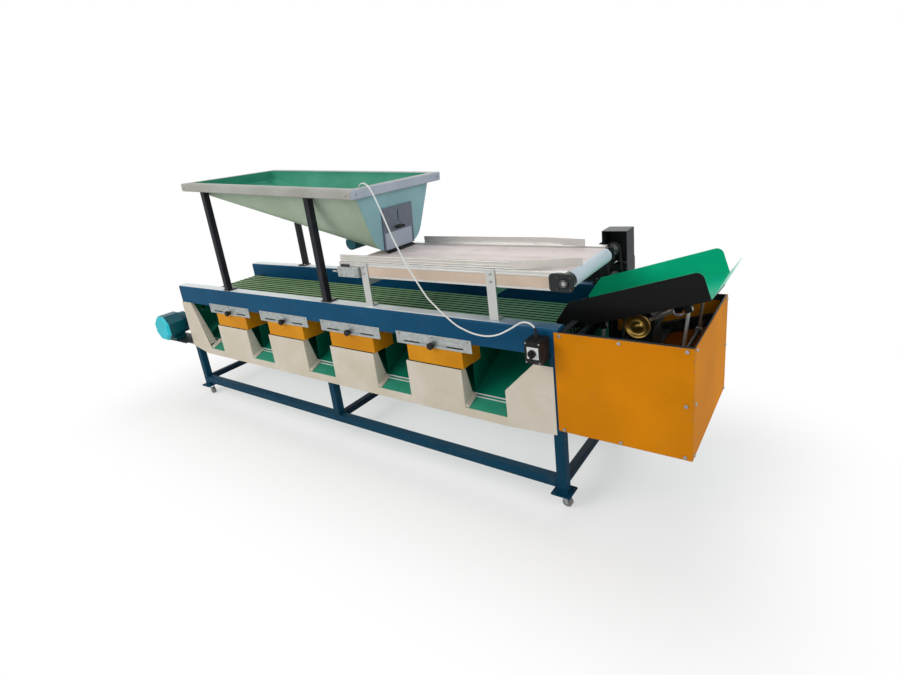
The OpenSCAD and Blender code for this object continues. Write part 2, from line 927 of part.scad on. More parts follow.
module drive_chains() color("dimgray") seat() {
    chain([bed_end, bed_axis_z], [-motor_x, motor_z], chain_r, sprocket_y);
    chain([conv_x1, conv_axis_z], [conv_motor_x, conv_motor_z], conv_chain_r, conv_chain_y);
}

// chute, outlets and front panel

module chute_board() color("darkgreen") seat() {
    sheet_yz([
        [board_y0, board_z0],
        [rail_in, board_z1],
        [rail_in + sheet_t, board_z1],
        [rail_in + sheet_t, rail_bot],
        [rail_in, rail_bot],
        [rail_in, board_z1 + sheet_t],
        [board_y0, board_z0 + sheet_t]
    ], chute_end, rail_len - chute_end);
}

module outlet_floor() color("mediumseagreen") seat() {
    sheet_yz([
        [-half_w, lip_z - sheet_t],
        [floor_depth - half_w, lip_z + floor_rise - sheet_t],
        [floor_depth - half_w, lip_z + floor_rise],
        [-half_w, lip_z]
    ], chute_end, rail_len - chute_end);
}

// side wall of an outlet, from x to the right
module cheek(x) {
    y0 = gap - half_w;
    y1 = cheek_depth - half_w;
    sheet_yz([
        [y0, lip_z + gap + gap * floor_slope],
        [y1, lip_z + gap + cheek_depth * floor_slope],
        [cheek_top_depth - half_w, block_z],
        [y0, block_z]
    ], x, x + sheet_t);
}

module front_panel() color("linen") seat() {
    top = rail_bot + panel_lap;
    right_top = rail_bot - right_drop;
    notches = [for (b = blocks) each [
        [b - block_w / 2, lip_z],
        [b - block_w / 2, block_z],
        [b + block_w / 2, block_z],
        [b + block_w / 2, lip_z]
    ]];
    sheet_xz(concat([
        [-panel_over, band_z + left_low],
        [-panel_over, top],
        [left_panel_w - left_slant, top],
        [left_panel_w, lip_z]
    ], notches, [
        [right_x, lip_z],
        [right_x, lip_z + right_step],
        [right_x + right_slope, right_top],
        [panel_right, right_top],
        [panel_right, band_z + right_low],
        [right_x, band_z],
        [left_cut_x, band_z]
    ]), -half_w - sheet_t, -half_w);
    for (b = blocks) {
        cheek(b - block_w / 2);
        cheek(b + block_w / 2 - sheet_t);
    }
    cheek_top = lip_z + right_step;
    block([right_x, gap - half_w, lip_z + floor_rise],
        [right_x + sheet_t, cheek_depth - half_w, cheek_top]);
    sheet_xz([
        [left_panel_w - sheet_t, lip_z + floor_rise],
        [left_panel_w - left_slant - sheet_t, top - panel_lap - gap],
        [left_panel_w - left_slant, top - panel_lap - gap],
        [left_panel_w, lip_z + floor_rise]
    ], gap - half_w, -rail_in - gap);
}

// slotted plates, dividers and clamp knobs

module slotted_plate(x) {
    slot_half = divider_shift + slot_spare;
    slot_r = stud_r + slot_clear;
    translate([x, -half_w, 0]) difference() {
        block([-plate_len / 2, -sheet_t, plate_z0], [plate_len / 2, 0, plate_z0 + plate_h]);
        translate([-slot_half, over, slot_z]) rotate([90, 0, 0])
            linear_extrude(sheet_t + 2 * over) stadium(2 * slot_half, slot_r);
    }
}

module slotted_plates() color("steelblue") seat() {
    for (x = places) slotted_plate(x);
}

module button_head(r, t) rotate([90, 0, 0]) cylinder(r = r, h = t);

module panel_screws() color("silver") seat() {
    for (x = places) for (s = [-1, 0, 1])
        translate([x + s * (plate_len / 2 - screw_edge), -half_w - sheet_t,
            plate_z0 + plate_h - screw_drop]) button_head(screw_r, screw_t);
    for (x = [box_x0 + 2 * bolt_in, (box_x0 + box_x1) / 2, box_x1 - 2 * bolt_in])
        for (z = [box_z0 + bolt_in, box_z1 - bolt_in])
            translate([x, -half_w - sheet_t, z]) button_head(bolt_r, bolt_t);
    translate([box_x1 - 2 * bolt_in, -half_w - sheet_t, (box_z0 + box_z1) / 2]) button_head(bolt_r, bolt_t);
    for (z = [box_z0 + bolt_in, (box_z0 + box_z1) / 2, box_z1 - bolt_in])
        for (y = [-half_w + 2 * bolt_in, box_y1 - 2 * bolt_in])
            translate([box_x1, y, z]) rotate([0, 0, 90]) button_head(bolt_r, bolt_t);
    in_hopper() for (x = [-1, 1])
        translate([x * (rim_len / 2 - rim_bolt_in), -rim_w / 2, -rim_h / 2])
            button_head(rim_bolt_r, rim_bolt_t);
    in_hopper() for (y = [-1, 1])
        translate([rim_len / 2, y * (rim_w / 2 - rim_bolt_in), -rim_h / 2]) rotate([0, 0, 90])
            button_head(rim_bolt_r, rim_bolt_t);
}

// height of the chute board's upper face at y
function board_at(y) = board_z0 + sheet_t + (y - board_y0) * board_slope;

module divider(i) color("goldenrod") seat() translate([places[i], 0, 0]) {
    y0 = divider_y0 + sheet_t;
    y1 = -half_w + board_front_in + gap;
    difference() {
        block([-divider_w / 2, divider_y0, divider_low], [divider_w / 2, y0, divider_top]);
        translate([0, 0, slot_z]) bar_y(stud_r + run, divider_y0 - over, y0 + over);
    }
    for (x = [-divider_w / 2, divider_w / 2 - sheet_t]) sheet_yz([
        [divider_y0, divider_low],
        [y1, divider_low],
        [y1, board_at(y1) + board_clear],
        [divider_back, board_at(divider_back) + board_clear],
        [divider_back, divider_roof],
        [-rail_in, divider_roof],
        [-rail_in, divider_top],
        [divider_y0, divider_top]
    ], x, x + sheet_t);
    block([-divider_w / 2, -rail_in, divider_roof - sheet_t], [divider_w / 2, divider_back, divider_roof]);
}

module divider_knob(i) color("black") seat() translate([places[i], 0, slot_z]) {
    face = -half_w - sheet_t - gap;
    bar_y(stud_r, face - knob_neck_t, divider_y0 + 2 * sheet_t);
    bar_y(knob_neck_r, face - knob_neck_t, face);
    difference() {
        bar_y(knob_r, face - knob_neck_t - knob_t, face - knob_neck_t);
        for (k = [0:5]) rotate([0, k * 60, 0]) translate([knob_r + stud_r / 2, 0, 0])
            bar_y(stud_r, face - knob_neck_t - knob_t - over, face - knob_neck_t + over);
    }
}

// hopper

module hopper_body(r0, r1, rc, z1) {
    hull() {
        for (x = [-1, 1]) for (y = [-1, 1]) {
            translate([x * (end_x - corner_r), y * (in_w / 2 - corner_r), -rim_h])
                cylinder(r = rc, h = rim_h + z1, $fn = hull_fn);
        }
        for (y = [-1, 1]) {
            translate([start_c.x, y * start_c.y, start_c.z]) sphere(r0, $fn = hull_fn);
            translate([end_x - corner_r + rc - end_disc_t, y * end_c.y, end_c.z]) rotate([0, 90, 0])
                cylinder(r = r1, h = end_disc_t, $fn = 2 * hull_fn);
        }
    }
}

module hopper_shell() color("darkseagreen") seat() in_hopper() {
    mouth_z = shell_t - hopper_depth;
    difference() {
        hopper_body(start_r, end_r, corner_r, -gap);
        hopper_body(start_r - shell_t, end_r - shell_t, corner_r - shell_t, over);
        block([end_x - 2 * shell_t, -mouth_w / 2, mouth_z + shell_t],
            [end_x + over, mouth_w / 2, mouth_z + mouth_h]);
    }
}

module hopper_rim() color("gainsboro") seat() in_hopper() {
    open_x = end_x + rim_gap;
    open_y = in_w / 2 + rim_gap;
    difference() {
        block([-rim_len / 2, -rim_w / 2, -rim_h], [rim_len / 2, rim_w / 2, 0]);
        block([-open_x, corner_r - open_y, -rim_h - over], [open_x, open_y - corner_r, over]);
        block([corner_r - open_x, -open_y, -rim_h - over], [open_x - corner_r, open_y, over]);
        for (x = [-1, 1]) for (y = [-1, 1])
            translate([x * (open_x - corner_r), y * (open_y - corner_r), -rim_h - over])
                cylinder(r = corner_r, h = rim_h + 2 * over);
    }
}

module hopper_legs() color("midnightblue") seat() {
    x1 = rail_len - hopper_end - leg_back;
    difference() {
        for (x = [x1 - leg_apart, x1]) for (s = [-1, 1]) {
            y = s * (half_w - hopper_leg_in);
            translate([x - hopper_leg_w / 2, y - hopper_leg_w / 2, rail_top])
                tube_z(hopper_leg_w, rim_z + rim_h - rail_top, leg_wall);
            foot_y = y - s * (hopper_foot_w - hopper_leg_w) / 2;
            translate([x - hopper_foot_l / 2, foot_y - hopper_foot_w / 2, rail_top])
                cube([hopper_foot_l, hopper_foot_w, hopper_foot_t]);
        }
        in_hopper() block([-rim_len, -rim_w, -rim_h], [rim_len, rim_w, 2 * rim_h]);
    }
}

module hopper_gate() color("lightgray") seat() in_hopper() difference() {
    block([gate_x, -gate_half, gate_z0], [gate_x + gate_t, gate_half, gate_z0 + gate_h]);
    translate([0, 0, gate_stud_z]) bar_x(stud_r + run, gate_x - over, gate_x + gate_t + over);
}

module gate_guide() color("silver") seat() in_hopper() {
    half = gate_half + gap + guide_rail;
    slot_r = stud_r + slot_clear;
    difference() {
        block([guide_x, -half, gate_z0 + guide_low], [guide_x + guide_t, half, gate_z0 + guide_high]);
        block([guide_x - over, -slot_r, gate_stud_z - gate_slot_end],
            [guide_x + guide_t + over, slot_r, gate_stud_z + gate_lift + gate_slot_end]);
    }
    for (s = [-1, 1]) {
        y0 = s > 0 ? gate_half + gap : -half;
        block([end_x, y0, gate_z0], [guide_x + guide_t, y0 + guide_rail, gate_z0 + guide_high]);
    }
}

module gate_knob() color("black") seat() in_hopper() translate([0, 0, gate_stud_z]) {
    face = guide_x + guide_t + gap;
    bar_x(stud_r, gate_x, face + wing_neck);
    bar_x(knob_neck_r, face, face + wing_neck);
    translate([face + wing_neck, 0, 0]) {
        translate([0, -wing_len / 2, -wing_w / 2]) cube([wing_t, wing_len, wing_w]);
        for (s = [-1, 1]) translate([0, s * wing_len / 2, 0]) bar_x(wing_w / 2, 0, wing_t);
    }
}

module outlet_flap() color("black") seat() in_hopper() {
    z0 = -hopper_depth - rim_gap - end_disc_t * tan(floor_tilt);
    tab_z = z0 + flap_tab * tan(floor_tilt);
    sheet_xz([
        [end_x - flap_tab, tab_z],
        [end_x - flap_tab, tab_z - flap_t],
        [end_x, z0 - flap_t],
        [end_x + flap_out, z0 - flap_t - flap_drop],
        [end_x + flap_out, z0 - flap_drop],
        [end_x, z0]
    ], -flap_half, flap_half);
}

// feed conveyor

module profile(y0) {
    difference() {
        block([prof_x0, y0, conv_z0], [prof_x1, y0 + prof_w, conv_z1]);
        for (x = [conv_x0, conv_x1]) translate([x, 0, conv_axis_z])
            bar_y(conv_hole_r, y0 - over, y0 + prof_w + over);
    }
}

// upright guide sheet along points given as X and Y
module guide_wall(p, side) {
    other = [for (i = [len(p) - 1:-1:0]) p[i] + [0, side * guide_sheet]];
    linear_extrude(guide_h) polygon(concat(p, other));
}

module conveyor_frame() color("silver") seat() {
    for (y = [conv_y0, conv_y1 - prof_w]) profile(y);
    slider_z = conv_axis_z + conv_r - slider_t;
    block([conv_x0 + slider_end, conv_y0 + prof_w, slider_z],
        [conv_x1 - slider_end, conv_y1 - prof_w, slider_z + slider_t]);
    near_y = conv_y0 + prof_lip;
    far_y = conv_y1 - prof_lip;
    translate([0, 0, conv_z1]) {
        guide_wall([[prof_x0, near_y], [rail_len - near_bend, near_y],
            [rail_len + near_end, near_y + near_in]], 1);
        guide_wall([[rail_len - far_start, far_y], [rail_len - far_bend, far_y],
            [rail_len - far_end, far_y - far_in]], -1);
    }
    block([prof_x0, conv_y0 - tail_plate_t, conv_z1 - tail_plate_h],
        [conv_x0 - conv_bearing_w / 2 - over, conv_y0, conv_z1]);
}

module conveyor_belt() color("whitesmoke") seat() {
    translate([conv_x0, 0, conv_axis_z]) loop(conv_len, conv_r + gap, conv_belt_t, belt_y0, belt_y1);
}

module conv_roller() {
    bar_y(conv_r, belt_y0, belt_y1);
    bar_y(conv_shaft_r, conv_y0 - conv_bearing_t, conv_y1 + conv_bearing_t);
}

module conveyor_drive_roller() color("silver") seat() translate([conv_x1, 0, conv_axis_z]) {
    conv_roller();
    bar_y(conv_shaft_r, conv_y1, conv_chain_y + 2 * sprocket_t);
    sprocket(conv_sprocket_r, conv_chain_y);
}

module conveyor_tail_roller() color("silver") seat() translate([conv_x0, 0, conv_axis_z]) conv_roller();

module conveyor_posts() color("silver") seat() {
    back_y = half_w - back_post_in;
    for (x = [rail_len - post_back_0, rail_len - post_back_1]) {
        block([x - post_w / 2, conv_y0 - post_t, rail_top], [x + post_w / 2, conv_y0, conv_z1]);
        block([x - post_w / 2, conv_y0 - post_t, rail_top],
            [x + post_w / 2, conv_y0 + prof_w, rail_top + post_t]);
        block([x - bar_w / 2, conv_y0, conv_z0 - bar_w], [x + bar_w / 2, back_y + bar_w, conv_z0]);
        block([x - bar_w / 2, back_y, rail_top], [x + bar_w / 2, back_y + bar_w, conv_z0]);
    }
}

module conveyor_motor_sprocket() color("silver") seat() translate([conv_motor_x, 0, conv_motor_z]) {
    bar_y(conv_shaft_r, conv_chain_y - sprocket_t / 2, conv_motor_y0 + conv_stub);
    sprocket(conv_sprocket_r, conv_chain_y);
}

module drive_guard() color("dimgray") seat() {
    x1 = guard_x0 + guard_len;
    difference() {
        block([guard_x0, guard_y0, guard_z0], [x1, guard_y1, guard_z1]);
        block([guard_x0 + guard_t, guard_y0 - over, guard_z0 - over],
            [x1 - guard_t, guard_y1 - guard_t, guard_z1 - guard_t]);
    }
    block([guard_x0, conv_y1, guard_z0 + conv_bearing_w],
        [guard_x0 + guard_t, guard_y0 + guard_t, conv_z1]);
}

// conveyor gearmotor on the back rail, shaker motor on its shelf, vibrator under the hopper
module small_motors() color("teal") seat() {
    translate([conv_motor_x, 0, conv_motor_z]) difference() {
        union() {
            bar_y(conv_motor_r, conv_motor_y0, conv_motor_y1);
            block([-conv_foot_half, conv_motor_y0, rail_top - conv_motor_z],
                [conv_foot_half, half_w, -conv_motor_r / 2]);
            block([rail_len - conv_plate_back - conv_motor_x, rail_in, rail_top - conv_motor_z],
                [rail_len + conv_plate_front - conv_motor_x, half_w,
                    rail_top + conv_plate_t - conv_motor_z]);
        }
        bar_y(conv_shaft_r + run, conv_motor_y0 - over, conv_motor_y0 + conv_stub + gap);
    }
    translate([ecc_x, 0, ecc_z]) difference() {
        union() {
            bar_y(shaker_d / 2, shaker_y0, shaker_y0 + shaker_len);
            block([-stand_half, shaker_y0 + stand_in, shelf_z + shelf_t - ecc_z],
                [stand_half, shaker_y0 + stand_in + stand_len, stand_bite - shaker_d / 2 + stand_half / 2]);
        }
        bar_y(ecc_shaft_r + run, shaker_y0 - over, shaker_y0 + ecc_shaft_in + gap);
    }
    on_floor(vib_back) {
        translate([0, 0, -vib_stand - vib_r]) bar_y(vib_r, -vib_half, vib_half);
        block([-vib_block / 2, -vib_block, -vib_stand - vib_r], [vib_block / 2, vib_block, -gap]);
    }
}

// drive box

// ring of angle with its flat on the side given by s
module angle_ring(z0, s) {
    difference() {
        block([rail_len, -half_w, z0], [frame_x1, frame_y1, z0 + angle_w]);
        block([rail_len + angle_t, angle_t - half_w, z0 - over],
            [frame_x1 - angle_t, frame_y1 - angle_t, z0 + angle_w + over]);
    }
    flat_z = s > 0 ? z0 + angle_w - angle_t : z0;
    difference() {
        block([rail_len, -half_w, flat_z], [frame_x1, frame_y1, flat_z + angle_t]);
        block([rail_len + angle_w, angle_w - half_w, flat_z - over],
            [frame_x1 - angle_w, frame_y1 - angle_w, flat_z + angle_t + over]);
    }
}

module box_frame() color("darkslategray") seat() {
    angle_ring(box_z0, -1);
    way_half = trough_w / 2 + trough_clear;
    difference() {
        angle_ring(box_z1 - angle_w, 1);
        block([rail_len - over, -way_half, box_z1 - angle_w - over],
            [rail_len + angle_w + over, way_half, box_z1 + over]);
    }
    for (x = [rail_len, frame_x1]) for (y = [-half_w, frame_y1]) {
        x0 = x > rail_len ? x - angle_w : x;
        y0 = y > 0 ? y - angle_w : y;
        xt = x > rail_len ? x - angle_t : x;
        yt = y > 0 ? y - angle_t : y;
        block([x0, yt, box_z0], [x0 + angle_w, yt + angle_t, box_z1]);
        block([xt, y0, box_z0], [xt + angle_t, y0 + angle_w, box_z1]);
    }
    y_bars = [angle_t - half_w, frame_y1 - angle_t - shaft_bar_w];
    for (y = y_bars) sheet_xz([for (k = [[rail_len, -1], [frame_x1, -1], [frame_x1, 1], [rail_len, 1]])
        [k[0], feet[0].y + (k[0] - feet[0].x) * bar_slope + k[1] * shaft_bar_h / 2]], y, y + shaft_bar_w);
    for (f = feet) translate([f.x, 0, f.y])
        bar_y(shaft_r, y_bars[0] + shaft_bar_w / 2, y_bars[1] + shaft_bar_w / 2);
    block([ecc_x - shelf_half, y_bars[0], shelf_z],
        [ecc_x + shelf_half, y_bars[1] + shaft_bar_w, shelf_z + shelf_t]);
}

module box_panels() color("goldenrod") seat() {
    block([box_x0, -half_w - sheet_t, box_z0], [box_x1, -half_w, box_z1]);
    block([frame_x1, panel_gap - half_w, box_z0], [box_x1, box_y1, box_z1]);
    block([rail_len, frame_y1, box_z0], [frame_x1 - panel_gap, box_y1, box_z1]);
}

// shaker trough, rockers, eccentric and rod

// pair of lugs under the trough floor with a pin between them
module lugs(x, y, drop, r, w, side) {
    for (s = [-1, 1]) {
        y0 = s > 0 ? y + w / 2 + side : y - w / 2 - side - lug_t;
        block([x - lug_half, y0, -drop - pin_end], [x + lug_half, y0 + lug_t, sheet_t / 2]);
    }
    translate([x, 0, -drop]) bar_y(r, y - w / 2 - side - lug_t, y + w / 2 + side + lug_t);
}

module trough() color("seagreen") seat() in_trough() {
    end = [trough_len + flap_len * cos(bend), flap_len * sin(bend)];
    sheet_xz([
        [0, 0],
        [trough_len, 0],
        end,
        end + sheet_t * [-sin(bend), cos(bend)],
        [trough_len - sheet_t * tan(bend / 2), sheet_t],
        [0, sheet_t]
    ], -trough_w / 2, trough_w / 2);
    for (y = [-trough_w / 2, trough_w / 2 - sheet_t]) {
        difference() {
            sheet_xz([
                [0, 0],
                [trough_len, 0],
                [trough_len, trough_h],
                [wall_cut_x, trough_h],
                [0, wall_cut_z]
            ], y, y + sheet_t);
            difference() {
                block([trough_len - wall_round, y - over, trough_h - wall_round],
                    [trough_len + over, y + sheet_t + over, trough_h + over]);
                translate([trough_len - wall_round, 0, trough_h - wall_round])
                    bar_y(wall_round, y - 2 * over, y + sheet_t + 2 * over);
            }
        }
    }
    for (r = rockers) for (y = [-rocker_y, rocker_y])
        lugs(r, y, pin_drop, pin_r, eye_w, lug_gap);
    lugs(rod_share * trough_len, ecc_y, rod_pin_drop, rod_pin_r, rod_w, rod_lug_gap);
}

module rocker(i) color("silver") seat() translate([feet[i].x, 0, feet[i].y]) {
    rotate([0, atan2(rocker_dx, rocker_dz), 0]) for (y = [-rocker_y, rocker_y]) {
        difference() {
            union() {
                bar_y(foot_eye_r, y - eye_w / 2, y + eye_w / 2);
                translate([0, 0, rocker_len]) bar_y(eye_r, y - eye_w / 2, y + eye_w / 2);
                translate([0, y, 0]) cylinder(r = rocker_r, h = rocker_len);
            }
            bar_y(shaft_r + run, y - eye_w, y + eye_w);
            translate([0, 0, rocker_len]) bar_y(pin_r + eye_gap, y - eye_w, y + eye_w);
        }
    }
}

module rocker_left() rocker(0);

module rocker_right() rocker(1);

module shaker_eccentric() color("silver") seat() translate([ecc_x, 0, ecc_z]) {
    y0 = ecc_y - rod_w / 2 - ecc_wheel_gap;
    y1 = ecc_y + rod_w / 2 + gap;
    bar_y(ecc_r, y0 - ecc_wheel_t, y0);
    translate([0, 0, throw]) bar_y(sheave_r, y0, y1);
    bar_y(ecc_shaft_r, y1, shaker_y0 + ecc_shaft_in);
}

module shaker_rod() color("gray") seat() translate([sheave.x, 0, sheave.y]) {
    rod_len = norm(rod_run);
    strap_r = sheave_r + strap_t;
    eye_out = rod_eye_in + rod_eye_t;
    rotate([0, -atan2(rod_run.y, rod_run.x), 0]) difference() {
        union() {
            bar_y(strap_r, ecc_y - rod_w / 2, ecc_y + rod_w / 2);
            translate([rod_len, 0, 0]) bar_y(eye_out, ecc_y - rod_w / 2, ecc_y + rod_w / 2);
            block([strap_r - rod_bite, ecc_y - rod_w / 2, -rod_h / 2],
                [rod_len - eye_out + rod_bite, ecc_y + rod_w / 2, rod_h / 2]);
        }
        bar_y(sheave_r + run, ecc_y - rod_w, ecc_y + rod_w);
        translate([rod_len, 0, 0]) bar_y(rod_eye_in, ecc_y - rod_w, ecc_y + rod_w);
    }
}

// switch box with its gland, and the rotary switch

module switch_box() color("black") seat() {
    plate = switch_w * switch_plate_share;
    front = -half_w - switch_d;
    difference() {
        union() {
            block([switch_x0, front, switch_z0], [switch_x0 + switch_w, -half_w, switch_z0 + switch_h]);
            block([switch_knob_x - plate / 2, front - switch_plate_t, switch_knob_z - plate / 2],
                [switch_knob_x + plate / 2, front, switch_knob_z + plate / 2]);
        }
        translate([switch_knob_x, 0, switch_knob_z])
            bar_y(switch_shaft_r + run, front - switch_plate_t - over, front + switch_shaft_l + gap);
    }
    translate([gland.x, gland.y, gland.z - gland_h]) cylinder(r = gland_r, h = gland_h);
}

module switch_knob() color("black") seat() translate([switch_knob_x, -half_w - switch_d, switch_knob_z]) {
    face = -switch_plate_t - gap;
    bar_y(switch_shaft_r, face - switch_knob_t / 2, switch_shaft_l);
    bar_y(switch_knob_r, face - switch_knob_t, face);
    block([-lever_w / 2, face - switch_knob_t - lever_t, -switch_knob_r],
        [lever_w / 2, face - switch_knob_t / 2, switch_knob_r]);
}

// mains cable, its coil on the hopper floor, and the plug

coil_side = tilt_pt([sin(floor_tilt), 0, cos(floor_tilt)]) - tilt_pt([0, 0, 0]);
coil_climb = coil_turns / 2;

// middle of the coil's tube after t turns, spiralling in, up a layer, and out again
function coil_pt(t) = let (
        turn = -90 - 360 * t,
        r = coil_r - coil_pitch * (coil_climb - abs(t - coil_climb)),
        layer = max(0, min(1, 2 * (t - coil_climb) + 0.5)))
    floor_pt(coil_back - r * cos(turn), r * sin(turn), coil_gap + cable_r + layer * coil_pitch);

coil_loop = [for (i = [0:coil_turns * coil_steps]) coil_pt(i / coil_steps)];
coil_last = len(coil_loop) - 1;
coil_way = unit(floor_pt(0, 0, 0) - floor_pt(coil_back, 0, 0));
coil_start = coil_loop[0] + cable_d * coil_way;
coil_end = coil_loop[coil_last] + cable_d * coil_way;
coil_points = concat([coil_start], coil_loop, [coil_end]);
coil_space = min([for (i = [0:coil_last]) for (j = [i + coil_steps / 2:1:coil_last])
    norm(coil_loop[i] - coil_loop[j])]) - cable_d;
echo("least gap between the turns of the coil", coil_space);

cable_run = concat([gland + [0, 0, cable_d]], route, [coil_start + cable_d * coil_way]);
cable_points = concat([gland], smooth(cable_run, cable_steps), [coil_start]);
function way_len(p, i) = i < len(p) - 1 ? norm(p[i + 1] - p[i]) + way_len(p, i + 1) : 0;
echo("length of the free cable and of the coil", way_len(cable_points, 0), way_len(coil_points, 0));

module mains_cable() color("white") seat() tube(cable_points, cable_r, cable_sides, [0, 1, 0]);

module cable_coil() color("white") seat() tube(coil_points, cable_r, coil_sides, coil_side);

module mains_plug() color("white") seat() translate(coil_end) rotate([0, rim_tilt + floor_tilt, 0]) {
    rotate([0, 90, 0]) cylinder(r1 = cable_r + plug_pin_r, r2 = plug_r - plug_pin_r, h = boot_len);
    bar_x(plug_r, boot_len, boot_len + plug_len);
    for (y = [-plug_pin_off, plug_pin_off]) translate([0, y, 0])
        bar_x(plug_pin_r, boot_len + plug_len, boot_len + plug_len + plug_pin_len);
}

module divider_1() divider(0);
module divider_2() divider(1);
module divider_3() divider(2);
module divider_4() divider(3);
module divider_knob_1() divider_knob(0);
module divider_knob_2() divider_knob(1);
module divider_knob_3() divider_knob(2);
module divider_knob_4() divider_knob(3);
module castor_fork_1() castor_fork(0);
module castor_fork_2() castor_fork(1);
module castor_fork_3() castor_fork(2);
module castor_fork_4() castor_fork(3);
module castor_wheel_1() castor_wheel(0);
module castor_wheel_2() castor_wheel(1);
module castor_wheel_3() castor_wheel(2);
module castor_wheel_4() castor_wheel(3);

rails();
legs();
lower_rails();
cross_bars();
roller_bearings();
grading_belts();
chute_board();
outlet_floor();
front_panel();
slotted_plates();
panel_screws();
motor_bracket();
bed_gearmotor();
drive_chains();
hopper_shell();
hopper_rim();
hopper_legs();
gate_guide();
outlet_flap();
conveyor_frame();
conveyor_belt();
conveyor_posts();
small_motors();
drive_guard();
box_frame();
box_panels();
switch_box();
mains_cable();
cable_coil();
mains_plug();
bed_drive_roller();
bed_idler_roller();
bed_motor_sprocket();
conveyor_drive_roller();
conveyor_tail_roller();
conveyor_motor_sprocket();
shaker_eccentric();
shaker_rod();
trough();
rocker_left();
rocker_right();
divider_1();
divider_2();
divider_3();
divider_4();
divider_knob_1();
divider_knob_2();
divider_knob_3();
divider_knob_4();
hopper_gate();
gate_knob();
castor_fork_1();
castor_fork_2();
castor_fork_3();
castor_fork_4();
castor_wheel_1();
castor_wheel_2();
castor_wheel_3();
castor_wheel_4();
switch_knob();
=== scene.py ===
import json
import math

import bpy
from mathutils import Matrix, Vector

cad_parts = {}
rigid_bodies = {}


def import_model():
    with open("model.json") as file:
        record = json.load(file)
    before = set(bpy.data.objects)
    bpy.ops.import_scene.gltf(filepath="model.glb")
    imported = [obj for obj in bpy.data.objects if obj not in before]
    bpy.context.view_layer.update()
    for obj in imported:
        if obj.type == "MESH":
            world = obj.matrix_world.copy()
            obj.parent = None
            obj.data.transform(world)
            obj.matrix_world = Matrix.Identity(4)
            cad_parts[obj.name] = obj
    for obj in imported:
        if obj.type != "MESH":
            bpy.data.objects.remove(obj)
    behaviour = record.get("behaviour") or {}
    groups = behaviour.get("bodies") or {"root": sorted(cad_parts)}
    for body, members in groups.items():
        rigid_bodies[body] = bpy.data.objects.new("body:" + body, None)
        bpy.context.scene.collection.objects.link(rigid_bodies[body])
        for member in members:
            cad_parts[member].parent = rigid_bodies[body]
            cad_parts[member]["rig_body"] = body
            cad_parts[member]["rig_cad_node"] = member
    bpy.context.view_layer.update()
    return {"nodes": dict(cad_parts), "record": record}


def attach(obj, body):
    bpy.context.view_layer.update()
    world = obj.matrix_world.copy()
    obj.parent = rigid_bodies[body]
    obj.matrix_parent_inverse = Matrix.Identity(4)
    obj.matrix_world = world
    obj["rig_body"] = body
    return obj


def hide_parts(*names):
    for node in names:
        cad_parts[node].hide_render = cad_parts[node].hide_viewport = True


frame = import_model()
ops = bpy.ops
ops.object.select_all(action="DESELECT")
MM = 0.001
# the frame's origin, in millimetres from the left rail end and the machine's middle
ORIGIN_X, ORIGIN_Y = 1735.314, -47.5
# distance along the machine and height of the axes of the drives, in millimetres
BED_ROLLER, BED_MOTOR = (100, 803.4), (-230, 590)
NOSE_ROLLER, CONVEYOR_MOTOR, SHAKER_MOTOR = (3215, 1144.6), (3225, 1003), (3430, 870)


def at(x, y, z):
    """A point in millimetres from the left rail end, the machine's middle and the floor."""
    return Vector((x - ORIGIN_X, y - ORIGIN_Y, z)) * MM


def on_axis(axis, y):
    """A point on the axis of a drive."""
    return axis[0], y, axis[1]


def rgb(r, g, b):
    """A colour as it looks on a screen, for the shader."""
    return [((v / 255 + 0.055) / 1.055) ** 2.4 if v > 10 else v / 3294.6 for v in (r, g, b)] + [1]


# camera and light

ops.object.camera_add(location=at(4125.8, -2385.9, 1796.9))
camera = bpy.context.object
right, down, ahead = (
    Vector((0.80678, 0.57831, -0.12107)),
    Vector((0.08466, -0.31595, -0.94499)),
    Vector((-0.58475, 0.75215, -0.30386)),
)
camera.rotation_euler = Matrix((right, -down, -ahead)).transposed().to_euler()
camera.data.sensor_width = 36
camera.data.lens = 21.348
camera.data.shift_x = 0.0088
camera.data.shift_y = -0.0334
camera.data.clip_end = 100
bpy.context.scene.camera = camera
bpy.context.scene.view_settings.view_transform = "Standard"


def lamp(name, where, target, size, power, colour):
    ops.object.light_add(type="AREA", location=where)
    light = bpy.context.object
    light.name = name
    light.rotation_euler = (Vector(target) - Vector(where)).to_track_quat("-Z", "Y").to_euler()
    light.data.size = size
    light.data.energy = power
    light.data.color = colour


lamp("key_light", (-2.2, -4.6, 4.4), (0, 0, 0.7), 3.5, 165, (1, 0.95, 0.88))
lamp("side_light", (6.0, -1.0, 3.6), (1, 0, 0.8), 3.0, 80, (0.92, 0.97, 1))
lamp("back_light", (-1.0, 4.5, 4.6), (0, 0, 0.8), 4.0, 95, (1, 1, 1))
world = bpy.data.worlds.new("studio")
bpy.context.scene.world = world
world.use_nodes = True


# finishes

# grading belts, in metres: left roller, distance of the rollers, middle line, pitch at the left and
# right, and the size of a belt
BED_X, BED_LENGTH, BED_Y = at(*on_axis(BED_ROLLER, 0)).x, 2.98, at(0, 0, 0).y
WIDE_PITCH, NARROW_PITCH = 0.042, 0.035
BELT_COUNT, BELT_WIDTH, BELT_THICKNESS, BELT_R = 12, 0.024, 0.006, 0.0436


